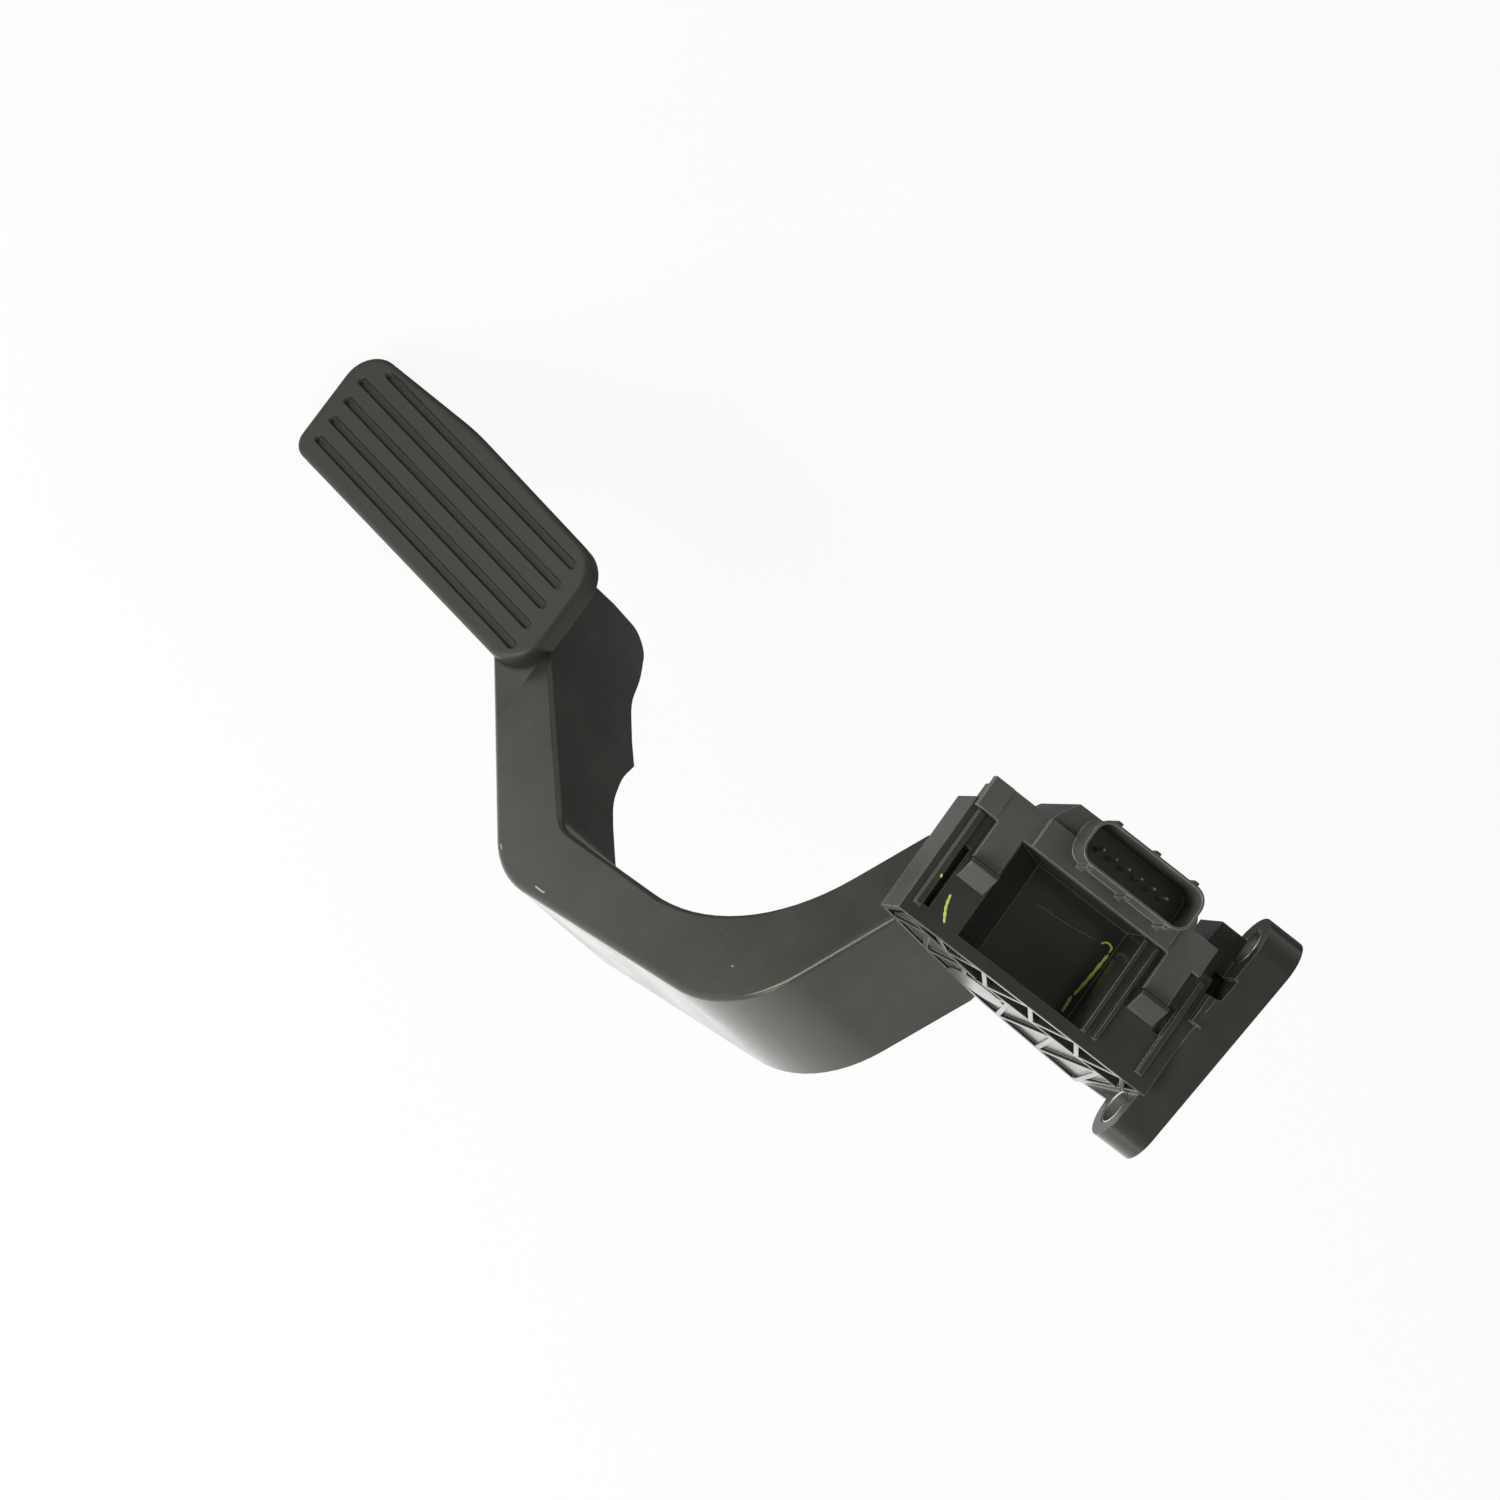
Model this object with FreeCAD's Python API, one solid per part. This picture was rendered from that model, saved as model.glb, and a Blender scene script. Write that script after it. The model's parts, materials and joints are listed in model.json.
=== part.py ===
"""Accelerator pedal sensor: hanging pedal arm, rubber pad, sprung pivot housing and contactless sensor.

Frame in millimetres: the origin is the middle of the two flange bolts on the bulkhead face,
+X is the driver's right, +Y points forward through the bulkhead and +Z is up.
"""
import FreeCAD, Part
import math
import os
from FreeCAD import Matrix, Placement, Vector

# Bulkhead flange
BOLT_SPAN_X = 49.0
BOLT_STEP_Z = 14.0
BOLT_X = 0.5 * BOLT_SPAN_X
BOLT_Z = 0.5 * BOLT_STEP_Z
BOLTS = {"right": (BOLT_X, -BOLT_Z), "left": (-BOLT_X, BOLT_Z)}
SLEEVE_BORE_R = 4.25
SLEEVE_R = 5.0
FLANGE_T = 10.5
FLANGE_X = (-19.5, 19.5)
FLANGE_CORNER_R = 6.0
EAR_R = 8.6
GUSSET_X = (-26.0, -20.0)
GUSSET_Y = -18.9
GUSSET_Z = (-10.0, 5.5)
FILLER_X = (-20.5, -9.0)
FILLER_Y = -16.7
FILLER_Z = (-40.0, 5.5)
TAB_X = (-8.8, -1.0)
TAB_Y = (-12.3, -9.3)
TAB_H = 2.2
NOTCH_X = (-15.0, -9.0)
NOTCH_Y = (-13.0, -9.5)
NOTCH_Z = 2.0

# Housing: its side outline in (Y, Z) and its sizes across X
TOP_Z = 8.0
REAR_Y = -88.1
REAR_LOW_Z = -8.0
BELLY = [(-68.4, -22.0), (-46.0, -34.5)]
FOOT_Z = -45.0
SIDE_OUTLINE = [(REAR_Y, TOP_Z), (REAR_Y, REAR_LOW_Z), *BELLY, (-FLANGE_T, FOOT_Z), (-FLANGE_T, TOP_Z)]
SIDE_RADII = [0.0, 2.0, 10.0, 14.0, 0.0, 0.0]
BODY_X = -12.6
SIDE_IN_X = 17.0
WEB_X = 18.1
LOW_WEB_X = 19.5
RIB_SIDE_X = 20.4
BAY_X = (-6.1, 11.6)
BAY_MID_X = 0.5 * (BAY_X[0] + BAY_X[1])
WALL = 2.5
ROOF_Z = TOP_Z - WALL
RECESS_X = (-11.0, SIDE_IN_X)
RECESS_Y = (-72.0, -33.5)
RECESS_LIP_Z = 6.0
RECESS_RAMP = 10.0
RECESS_FLOOR_Z = -5.5
FLOOR_T = 2.2
RAMP_SHIFT = 2.0
BURIED = 0.5

# Raised rails and sunk slots across the roof
RAIL_X = (-10.2, SIDE_IN_X)
RAIL_H = 1.4
RAILS_Y = [(-85.8, -84.0), (-33.5, -32.4), (-30.0, -28.9), (-16.1, -14.5)]
REAR_SLOT_X = (-1.4, 16.0)
REAR_SLOT_Y = (-84.0, -81.8)
FRONT_SLOT_X = (-1.5, 6.5)
FRONT_SLOT_Y = (-18.4, -16.6)
REAR_SLOT_DEPTH = 3.5
REAR_CEILING = (-80.0, 3.0)
FRONT_SLOT_DEPTH = 1.5

# Truss ribs outside the right wall
TRUSS_RIB_T = 1.4
TRUSS_EDGE = 1.8
TRUSS_BAYS = 5
TRUSS_MIDDLE = [(-83.5, 3.5), (-57.0, -9.3), (-FLANGE_T, -9.3)]

# Pedal pivot
PIVOT_Y = -53.0
PIVOT_Z = -20.0
SHAFT_R = 4.0
SHAFT_X = (-16.5, 17.4)
RUNNING_GAP = 0.03
BUSH_R = 6.0
BUSH_END_X = 17.6
BUSH_BOSS_R = 8.2
HUB_R = 10.0
HUB_X = (-5.6, 11.1)

# Friction shoe between the hub and the recess floor
SHOE_X = (-3.5, 9.0)
SHOE_HALF_Y = 7.0
SHOE_LOW = 6.5

# Pedal arm: a channel in a plane that leans back from the vertical, outline in (X, distance down the arm)
PAD_DOWN = 177.8
PAD_PROUD = 7.15
ARM_LEAN = 29.0
ARM_FRONT_Y = -80.0
ARM_FRONT_Z = -37.0
ARM_DEPTH = 39.5
ARM_WALL = 3.0
ARM_EDGE_R = 1.6
ARM_RIB_T = 2.0
ARM_RIB_DEPTH = 22.0
ARM_RIB_PITCH = 30.0
ARM_RIB_SLANT = 42.0
ARM_RIB_FIRST = (25.0, -80.0)
ARM_RIB_COUNT = 11
ARM_TOP_S = -12.0
INNER_BEND = (36.6, 121.2)
OUTER_BEND = (56.7, 132.3)
INNER_PAST = 30.4
OUTER_PAST = 40.2
RISER_PAST = 34.5
RISER_SETBACK = 2.0
INNER_END = (-36.3, PAD_DOWN + INNER_PAST)
OUTER_END = (-20.4, PAD_DOWN + OUTER_PAST)
RISER_END = (-27.0, PAD_DOWN + RISER_PAST)
ARM_OUTLINE = [
    (HUB_X[0], ARM_TOP_S), (HUB_X[0], 2.4), (43.6, 37.4), INNER_BEND, INNER_END,
    OUTER_END, OUTER_BEND, (60.4, 23.5), (HUB_X[1], -10.5), (HUB_X[1], ARM_TOP_S),
]
ARM_RADII = [0.0, 0.0, 67.0, 14.0, 0.0, 3.0, 33.0, 42.0, 0.0, 0.0]
ROOT_TAPER = [(-20.0, 29.0), (-5.0, ARM_DEPTH)]
TAPER_BEFORE = 9.8
TAPER_PAST = 42.0
END_DEPTH = 9.0
CREASE_BEFORE = 4.95
END_TAPER = [(PAD_DOWN - TAPER_BEFORE, ARM_DEPTH), (PAD_DOWN + TAPER_PAST, END_DEPTH)]
CREASE_S = PAD_DOWN - CREASE_BEFORE
RISER_TOP = -20.0
NECK_S = -4.0
NECK_DEPTH = 32.0

# Back edge of the inner wall along the shank: (distance from the bend, depth)
WALL_RELIEF = [(-14.0, 25.0), (17.5, 25.8), (27.8, 26.7), (41.3, 32.7), (50.4, ARM_DEPTH)]
RELIEF_RADII = [0.0, 0.0, 30.0, 40.0, 0.0, 0.0, 0.0]
RELIEF_ACROSS = (-12.0, ARM_WALL + 0.5)
WALL_FIN = [(60.0, ARM_DEPTH), (76.1, 40.7), (90.1, 47.0), (104.5, 50.9), (111.0, 47.7), (112.8, 36.2)]
FIN_RADII = [0.0, 0.0, 30.0, 60.0, 10.0, 5.0, 0.0, 0.0]

# Pedal pad: its plane and its outline in (X, distance down the pad)
PAD_SLOPE = 45.0
PAD_OUTLINE = [(6.6, -7.5), (-19.5, 110.0), (-57.6, 110.0), (-50.4, 58.0), (-34.0, -7.5)]
PAD_RADII = [12.0, 6.0, 10.0, 120.0, 13.0]
PAD_T = 5.5
PAD_SKIRT = 1.5
PAD_EDGE = 1.4
PLATE_T = 3.5
PLATE_INSET = 1.6
GROOVE_COUNT = 5
GROOVE_ROOT = (-1.3, 0.5)
GROOVE_TIP = (-25.1, 102.6)
GROOVE_ROOT_PITCH = 7.1
GROOVE_TIP_PITCH = 7.2
LAST_GROOVE_SHARE = 0.93
GROOVE_W = 2.4
GROOVE_DEPTH = 1.8

# Sensor chamber, cover and connector
CHAMBER_OUTLINE = [(-82.4, 3.5), (-82.4, -7.5), (-68.2, -21.8), (-46.0, -33.2), (-19.0, -41.5), (-19.0, 3.5)]
CHAMBER_RADII = [4.0, 4.0, 8.0, 12.0, 4.0, 4.0]
CHAMBER_X = (-16.0, -13.6)
CHAMBER_WALL = 2.2
SEAL_T = 0.8
SEAL_MARGIN = 0.3
COVER_IN_X = CHAMBER_X[0] - SEAL_T
COVER_T = 2.2
COVER_OUT_X = COVER_IN_X - COVER_T
COVER_GROW = 2.0
COVER_GAP = 0.2
SKIRT_X = -13.4
SHELF_Z = (TOP_Z + 0.2, TOP_Z + 2.2)
SHELF_X = -10.5
SHELF_REAR_Y = -87.6
SHELF_STEP_Y = -81.8
SHELF_STEP = 0.5
BLOCK_Y = (-70.4, -28.0)
BLOCK_H = 1.0
BOSS_Y = (-70.4, -24.5)
BOSS_TOP_Z = SHELF_Z[1]
BOSS_OUTLINE = [(BOSS_Y[0], BOSS_TOP_Z), (BOSS_Y[0], -18.5), (-50.0, -30.0), (-29.0, -33.0), (BOSS_Y[1], -31.0),
                (BOSS_Y[1], BOSS_TOP_Z)]
BOSS_RADII = [1.0, 3.0, 6.0, 6.0, 3.0, 1.0]
BOSS_X = -26.2
BOSS_SHOULDER_X = -21.6
BOSS_SHOULDER = (1.2, 4.0)
BOSS_SKIN = 2.0
ROOM_INSET = 2.4
ROOM_Y = (-66.0, -28.4)
ROOM_TOP_Z = 4.0
PLUG_X = -20.2
PLUG_Y = -45.9
PLUG_W = 12.1
PLUG_L = 33.6
PLUG_R = 4.4
PLUG_WALL = 1.5
PLUG_FOOT_Z = 5.7
PLUG_TOP_Z = 19.5
PLUG_FLOOR_Z = 7.0
PLUG_RIBS = (-12.0, 0.0, 12.0)
PLUG_RIB_W = 1.6
PLUG_RIB_PROUD = 0.95
PLUG_RIB_Z = (SHELF_Z[1] - 1.0, PLUG_TOP_Z - 1.0)
PIN_COUNT = 6
PIN_PITCH = 4.0
PIN_X = (-20.8, -20.0)
PIN_W = 0.8
PIN_Z = (-3.0, 13.0)
PIN_SLOT_Z = 0.0
CATCH_Y = (-76.9, -23.3)
CATCH_X = (0.3, 5.6)
CATCH_W = 8.2
CATCH_FLAT = 1.2
CATCH_H = 4.2
CATCH_TOE = 0.8
CLIP_W = 7.8
CLIP_END_X = CATCH_X[0] - 0.4

# Sensor board, chips and magnet
BOARD_T = 1.6
BOARD_X = (PIN_X[0] - BOARD_T, PIN_X[0])
BOARD_Y = (-58.6, -29.5)
BOARD_Z = (-22.2, 3.0)
POST_R = 2.0
POST_INSET = 5.0
POST_Z = -8.0
POST_BURIED = 1.0
CHIP_SIZE = 4.0
CHIP_T = 1.1
CHIP_OFFSET_Y = 3.2
ROTOR_R = 5.8
ROTOR_X = (SHAFT_X[0], -14.0)
MAGNET_R = 4.2
MAGNET_T = 1.2

# Return springs, upright between the spring cup on the lever and the seat in the roof
SPRING_Y = -22.3
SPRING_Z = (-21.5, 2.6)
SEAT_R = 8.2
CUP_R = 8.0
SPIGOT_R = 2.4
SPIGOT_H = 3.5
OUTER_COIL = dict(radius=6.2, wire=1.9, turns=4.0)
INNER_COIL = dict(radius=3.8, wire=1.2, turns=5.0)
COIL_STEPS = 16
LEVER_Z = -24.0
LEVER = [(-50.0, -12.5), (-41.0, LEVER_Z), (-14.6, LEVER_Z), (-14.6, -28.5), (-40.0, -33.0), (-53.0, -29.5)]

# Travel stops, either side of the horn on the hub
HORN_X = (0.0, 5.5)
HORN_FACE_Y = -74.0
HORN_BACK_Y = -77.6
HORN_TOP_Z = 2.5
HORN = [(-56.0, -26.0), (-58.0, -15.5), (-69.5, -14.0), (HORN_FACE_Y, -10.0), (HORN_FACE_Y, HORN_TOP_Z),
        (HORN_BACK_Y, HORN_TOP_Z), (HORN_BACK_Y, -14.0), (-68.0, -24.0)]
HORN_RADII = [0.0, 4.0, 3.0, 3.0, 1.0, 1.0, 4.0, 3.0]
STOP_X = (-2.0, 7.5)
STOP_R = 0.8
REST_STOP_GAP = 0.3
REST_STOP_Z = (-6.0, 0.5)
FULL_STOP_Y = (REAR_Y + WALL, -83.4)
FULL_STOP_Z = (-8.0, 0.0)

X_AXIS = Vector(1, 0, 0)
Y_AXIS = Vector(0, 1, 0)
FAR = 100.0
EVERYWHERE = (-FAR, FAR)


def turned(rows, origin=(0.0, 0.0, 0.0)):
    """A placement from three rows of direction cosines and an origin."""
    (a, b, c), (d, e, f), (g, h, i) = rows
    return Placement(Matrix(a, b, c, origin[0], d, e, f, origin[1], g, h, i, origin[2], 0, 0, 0, 1))


def leaning(angle, y, z):
    """The frame of a plane through (y, z): across, down the slope, and into the object."""
    s, c = math.sin(math.radians(angle)), math.cos(math.radians(angle))
    return turned([(1, 0, 0), (0, -s, c), (0, -c, -s)], (0.0, y, z))


SIDE_FRAME = turned([(0, 0, 1), (1, 0, 0), (0, 1, 0)])
FLANGE_FRAME = turned([(1, 0, 0), (0, 0, -1), (0, 1, 0)])
ARM_FRAME = leaning(ARM_LEAN, ARM_FRONT_Y, ARM_FRONT_Z)
PAD_ORIGIN = ARM_FRAME.multVec(Vector(0, PAD_DOWN, -PAD_PROUD))
PAD_FRAME = leaning(90.0 - PAD_SLOPE, PAD_ORIGIN.y, PAD_ORIGIN.z)


def placed(shape, frame):
    """A copy of the shape, carried into a frame."""
    moved = shape.copy()
    moved.Placement = frame.multiply(moved.Placement)
    return moved


def box(x, y, z):
    """A block from three (low, high) pairs."""
    return Part.makeBox(x[1] - x[0], y[1] - y[0], z[1] - z[0], Vector(x[0], y[0], z[0]))


def pivot_cylinder(radius, x):
    """A cylinder on the pivot axis between two values of X."""
    return Part.makeCylinder(radius, x[1] - x[0], Vector(x[0], PIVOT_Y, PIVOT_Z), X_AXIS)


def rounded_wire(points, radii):
    """A closed wire in the XY plane whose corners are arcs of the given radii."""
    count = len(points)
    spans = []
    for i, (x, y) in enumerate(points):
        here = Vector(x, y, 0)
        if radii[i] <= 0:
            spans.append((here, None, here))
            continue
        back = (Vector(*points[i - 1], 0) - here).normalize()
        ahead = (Vector(*points[(i + 1) % count], 0) - here).normalize()
        half = 0.5 * back.getAngle(ahead)
        reach = radii[i] / math.tan(half)
        crown = here + (back + ahead).normalize() * (radii[i] / math.sin(half) - radii[i])
        spans.append((here + back * reach, crown, here + ahead * reach))
    edges = []
    for i, (start, crown, end) in enumerate(spans):
        if crown is not None:
            edges.append(Part.Arc(start, crown, end).toShape())
        following = spans[(i + 1) % count][0]
        if (following - end).Length > 1e-6:
            edges.append(Part.makeLine(end, following))
    return Part.Wire(edges)


def inset(points, radii, amount):
    """The outline moved inwards by amount, or outwards if negative, and the radii that go with it."""
    count = len(points)
    area = sum(ax * by - bx * ay for (ax, ay), (bx, by) in zip(points, points[1:] + points[:1]))
    side = math.copysign(1.0, area)
    lines = []
    for i in range(count):
        (ax, ay), (bx, by) = points[i], points[(i + 1) % count]
        length = math.hypot(bx - ax, by - ay)
        ux, uy = (bx - ax) / length, (by - ay) / length
        lines.append((ax - side * uy * amount, ay + side * ux * amount, ux, uy))
    moved, rounds = [], []
    for i in range(count):
        px, py, ux, uy = lines[i - 1]
        qx, qy, vx, vy = lines[i]
        cross = ux * vy - uy * vx
        along = ((qx - px) * vy - (qy - py) * vx) / cross
        moved.append((px + along * ux, py + along * uy))
        grown = radii[i] - math.copysign(amount, amount * cross * side)
        rounds.append(max(grown, 0.0) if radii[i] > 0 else 0.0)
    return moved, rounds


def prism(points, radii, low, high):
    """A solid of an outline in the XY plane between two heights."""
    solid = Part.Face(rounded_wire(points, radii)).extrude(Vector(0, 0, high - low))
    solid.translate(Vector(0, 0, low))
    return solid


def sharp(points):
    """Zero radii for an outline with plain corners."""
    return [0.0] * len(points)


def side_prism(points, radii, x):
    """A solid of an outline in (Y, Z) between two values of X."""
    return placed(prism(points, radii, x[0], x[1]), SIDE_FRAME)


def ring(points, radii, inner, outer, x):
    """A side wall that follows an outline between two insets."""
    return side_prism(*inset(points, radii, inner), x).cut(side_prism(*inset(points, radii, outer), x))


def fused(shapes):
    """One solid of several, without the seams between them."""
    return shapes[0].multiFuse(shapes[1:]).removeSplitter()


def bar(start, end, thickness):
    """A straight rib between two points of a side view, as an outline in (Y, Z)."""
    (ay, az), (by, bz) = start, end
    length = math.hypot(by - ay, bz - az)
    ny, nz = -(bz - az) / length * 0.5 * thickness, (by - ay) / length * 0.5 * thickness
    return [(ay + ny, az + nz), (ay - ny, az - nz), (by - ny, bz - nz), (by + ny, bz + nz)]


def line_height(points, y):
    """Height at y of a line through points that run from rear to front."""
    for (ay, az), (by, bz) in zip(points, points[1:]):
        if ay <= y <= by:
            return az + (bz - az) * (y - ay) / (by - ay)
    return points[-1][1]


def between(start, end, second):
    """The point of a straight line whose second coordinate is given."""
    share = (second - start[1]) / (end[1] - start[1])
    return start[0] + (end[0] - start[0]) * share, second


SHANK_RUN = Vector(INNER_END[0] - INNER_BEND[0], INNER_END[1] - INNER_BEND[1], 0).normalize()
SHANK_FRAME = turned([(SHANK_RUN.x, 0, SHANK_RUN.y), (SHANK_RUN.y, 0, -SHANK_RUN.x), (0, 1, 0)], (*INNER_BEND, 0.0))
RAMP_FOOT_Y = RECESS_Y[0] + RECESS_RAMP
BAY_CEILING = [(RECESS_Y[0] - WALL, ROOF_Z), (RAMP_FOOT_Y - RAMP_SHIFT, RECESS_FLOOR_Z - FLOOR_T)]


def truss_pockets():
    """The triangular pockets in the right side wall: a deep row over a middle rib and a shallow row under it."""
    x = (WEB_X, RIB_SIDE_X + 1.0)
    bottom = SIDE_OUTLINE[1:5]
    pockets = side_prism(*inset(SIDE_OUTLINE, SIDE_RADII, TRUSS_EDGE), x)
    lines = list(zip(TRUSS_MIDDLE, TRUSS_MIDDLE[1:]))
    span = (TRUSS_MIDDLE[-1][0] - TRUSS_MIDDLE[0][0]) / (2 * TRUSS_BAYS)
    for i in range(2 * TRUSS_BAYS):
        rear = TRUSS_MIDDLE[0][0] + i * span
        front = rear + span
        high, low = ((front, rear), (rear, front))[i % 2]
        lines.append(((low, line_height(TRUSS_MIDDLE, low)), (high, TOP_Z)))
        lines.append(((low, line_height(bottom, low)), (high, line_height(TRUSS_MIDDLE, high))))
    ribs = [side_prism(bar(a, b, TRUSS_RIB_T), sharp(range(4)), x) for a, b in lines]
    low_row = TRUSS_MIDDLE + [(TRUSS_MIDDLE[-1][0], -FAR), (TRUSS_MIDDLE[0][0], -FAR)]
    low_web = side_prism(low_row, sharp(low_row), (WEB_X, LOW_WEB_X))
    return pockets.cut(ribs + [pivot_cylinder(BUSH_BOSS_R, x), low_web])


def bolt_cylinder(side, radius):
    """A cylinder through the flange on the axis of one bolt."""
    x, z = BOLTS[side]
    return Part.makeCylinder(radius, FLANGE_T, Vector(x, -FLANGE_T, z), Y_AXIS)


def flange():
    """The mounting plate: a bar over two bolt ears, its foot, the sleeve holes and the blocks behind it."""
    span = math.hypot(BOLT_SPAN_X, BOLT_STEP_Z)
    over_x, over_z = EAR_R * BOLT_STEP_Z / span, EAR_R * BOLT_SPAN_X / span
    (right_x, right_z), (left_x, left_z) = BOLTS["right"], BOLTS["left"]
    plate = [(FLANGE_X[0], FOOT_Z), (FLANGE_X[1], FOOT_Z), (right_x, right_z), (right_x + over_x, right_z + over_z),
             (left_x + over_x, left_z + over_z), (left_x, left_z)]
    radii = [FLANGE_CORNER_R, FLANGE_CORNER_R, 0.0, 0.0, 0.0, 0.0]
    front = BURIED - FLANGE_T
    solids = [
        placed(prism(plate, radii, 0.0, FLANGE_T), FLANGE_FRAME),
        box(GUSSET_X, (GUSSET_Y, front), GUSSET_Z),
        box(FILLER_X, (FILLER_Y, front), FILLER_Z),
    ]
    solids += [bolt_cylinder(side, EAR_R) for side in BOLTS]
    return fused(solids).cut([bolt_cylinder(side, SLEEVE_R) for side in BOLTS])


def catch(y):
    """A ramped catch on the roof, in front of the end of one of the cover's clips."""
    foot = TOP_Z - BURIED
    ramp = [(CATCH_X[0], foot), (CATCH_X[1], foot), (CATCH_X[1], TOP_Z + CATCH_TOE),
            (CATCH_X[0] + CATCH_FLAT, TOP_Z + CATCH_H), (CATCH_X[0], TOP_Z + CATCH_H)]
    return placed(prism(ramp, sharp(ramp), -y - 0.5 * CATCH_W, -y + 0.5 * CATCH_W), FLANGE_FRAME)


def make_housing():
    """The moulded housing: arm bay, roof recess, truss wall, sensor chamber, clip catches and flange."""
    rail_z = (TOP_Z - BURIED, TOP_Z + RAIL_H)
    solids = [
        side_prism(SIDE_OUTLINE, SIDE_RADII, (BODY_X, RIB_SIDE_X)),
        side_prism(CHAMBER_OUTLINE, CHAMBER_RADII, (CHAMBER_X[0], BODY_X)),
        flange(),
        box(TAB_X, TAB_Y, (TOP_Z - BURIED, TOP_Z + TAB_H)),
    ]
    solids += [catch(y) for y in CATCH_Y]
    solids += [box(RAIL_X, y, rail_z) for y in RAILS_Y]
    bay_front = -FLANGE_T - WALL
    recess_front = RECESS_Y[1] + WALL
    bay = [(REAR_Y + WALL, -FAR), (REAR_Y + WALL, REAR_CEILING[1]), REAR_CEILING, (REAR_CEILING[0], ROOF_Z),
           *BAY_CEILING, (recess_front, BAY_CEILING[1][1]), (recess_front, ROOF_Z), (bay_front, ROOF_Z),
           (bay_front, -FAR)]
    recess = [(RECESS_Y[0], FAR), (RECESS_Y[0], RECESS_LIP_Z), (RAMP_FOOT_Y, RECESS_FLOOR_Z),
              (RECESS_Y[1], RECESS_FLOOR_Z), (RECESS_Y[1], FAR)]
    removed = [
        side_prism(bay, sharp(bay), BAY_X),
        side_prism(recess, sharp(recess), RECESS_X),
        box(REAR_SLOT_X, REAR_SLOT_Y, (TOP_Z - REAR_SLOT_DEPTH, FAR)),
        box(FRONT_SLOT_X, FRONT_SLOT_Y, (TOP_Z - FRONT_SLOT_DEPTH, FAR)),
        box(NOTCH_X, NOTCH_Y, (NOTCH_Z, FAR)),
        side_prism(*inset(CHAMBER_OUTLINE, CHAMBER_RADII, CHAMBER_WALL), (CHAMBER_X[0], CHAMBER_X[1])),
        pivot_cylinder(BUSH_R, (CHAMBER_X[0], BUSH_END_X)),
        truss_pockets(),
    ]
    return fused(solids).cut(removed)


def make_sleeve(side):
    """A steel sleeve that takes the bolt's clamping load in one ear of the flange."""
    return bolt_cylinder(side, SLEEVE_R).cut(bolt_cylinder(side, SLEEVE_BORE_R))


def make_bush(x):
    """A plain bearing bush for the pivot shaft."""
    return pivot_cylinder(BUSH_R, x).cut(pivot_cylinder(SHAFT_R + RUNNING_GAP, x))


def plug_outline(shrink):
    """The rounded connector outline in XY, made smaller by shrink on every side."""
    x, y = 0.5 * PLUG_W - shrink, 0.5 * PLUG_L - shrink
    corners = [(-x, -y), (x, -y), (x, y), (-x, y)]
    return [(PLUG_X + dx, PLUG_Y + dy) for dx, dy in corners], [PLUG_R - shrink] * 4


def pin_places():
    """The Y of each connector pin."""
    return [PLUG_Y + PIN_PITCH * (i - 0.5 * (PIN_COUNT - 1)) for i in range(PIN_COUNT)]


def pin(y, z):
    """One blade of the connector between two heights."""
    return box(PIN_X, (y - 0.5 * PIN_W, y + 0.5 * PIN_W), z)


def make_boss():
    """The block on the cover that holds the board room, with sloping shoulders at both ends."""
    rear, front = BOSS_Y
    slope, run = BOSS_SHOULDER
    plan = [(COVER_OUT_X, rear), (BOSS_SHOULDER_X, rear + slope), (BOSS_X, rear + run), (BOSS_X, front - run),
            (BOSS_SHOULDER_X, front - slope), (COVER_OUT_X, front)]
    block = side_prism(BOSS_OUTLINE, BOSS_RADII, (BOSS_X, COVER_OUT_X))
    return block.common(prism(plan, sharp(plan), -FAR, FAR))


def make_cover():
    """The snap-on sensor cover: lid with skirt, board room, clips and connector shroud."""
    outer, outer_r = inset(CHAMBER_OUTLINE, CHAMBER_RADII, -COVER_GROW)
    rear, front = outer[0][0], outer[-1][0]
    top = SHELF_Z[1]
    solids = [
        side_prism(outer, outer_r, (COVER_OUT_X, COVER_IN_X)),
        ring(CHAMBER_OUTLINE, CHAMBER_RADII, -COVER_GROW, -COVER_GAP, (COVER_IN_X, SKIRT_X)),
        make_boss(),
        box((COVER_OUT_X, SHELF_X), (SHELF_REAR_Y, front), SHELF_Z),
        box((COVER_OUT_X, SHELF_X), (SHELF_REAR_Y, SHELF_STEP_Y), (top - BURIED, top + SHELF_STEP)),
        box((COVER_OUT_X, SHELF_X), BLOCK_Y, (top - BURIED, top + BLOCK_H)),
        box((COVER_OUT_X, COVER_IN_X), (rear, front), (0.0, top)),
        prism(*plug_outline(0.0), PLUG_FOOT_Z, PLUG_TOP_Z),
    ]
    reach = 0.5 * PLUG_W + PLUG_RIB_PROUD
    for offset in PLUG_RIBS:
        y = PLUG_Y + offset
        ends = (y - 0.5 * PLUG_RIB_W, y + 0.5 * PLUG_RIB_W)
        solids.append(box((PLUG_X - reach, PLUG_X + reach), ends, PLUG_RIB_Z))
    for y in CATCH_Y:
        solids.append(box((SHELF_X - BURIED, CLIP_END_X), (y - 0.5 * CLIP_W, y + 0.5 * CLIP_W), SHELF_Z))
    room = side_prism(*inset(BOSS_OUTLINE, BOSS_RADII, ROOM_INSET), (BOSS_X + BOSS_SKIN, COVER_IN_X + BURIED))
    removed = [
        room.common(box(EVERYWHERE, ROOM_Y, (-FAR, ROOM_TOP_Z))),
        prism(*plug_outline(PLUG_WALL), PLUG_FLOOR_Z, FAR),
    ]
    removed += [pin(y, (PIN_SLOT_Z, FAR)) for y in pin_places()]
    post_x = BOSS_X + POST_BURIED
    posts = [Part.makeCylinder(POST_R, BOARD_X[0] - post_x, Vector(post_x, y, POST_Z), X_AXIS)
             for y in (BOARD_Y[0] + POST_INSET, BOARD_Y[1] - POST_INSET)]
    return fused([fused(solids).cut(removed)] + posts)


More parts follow.
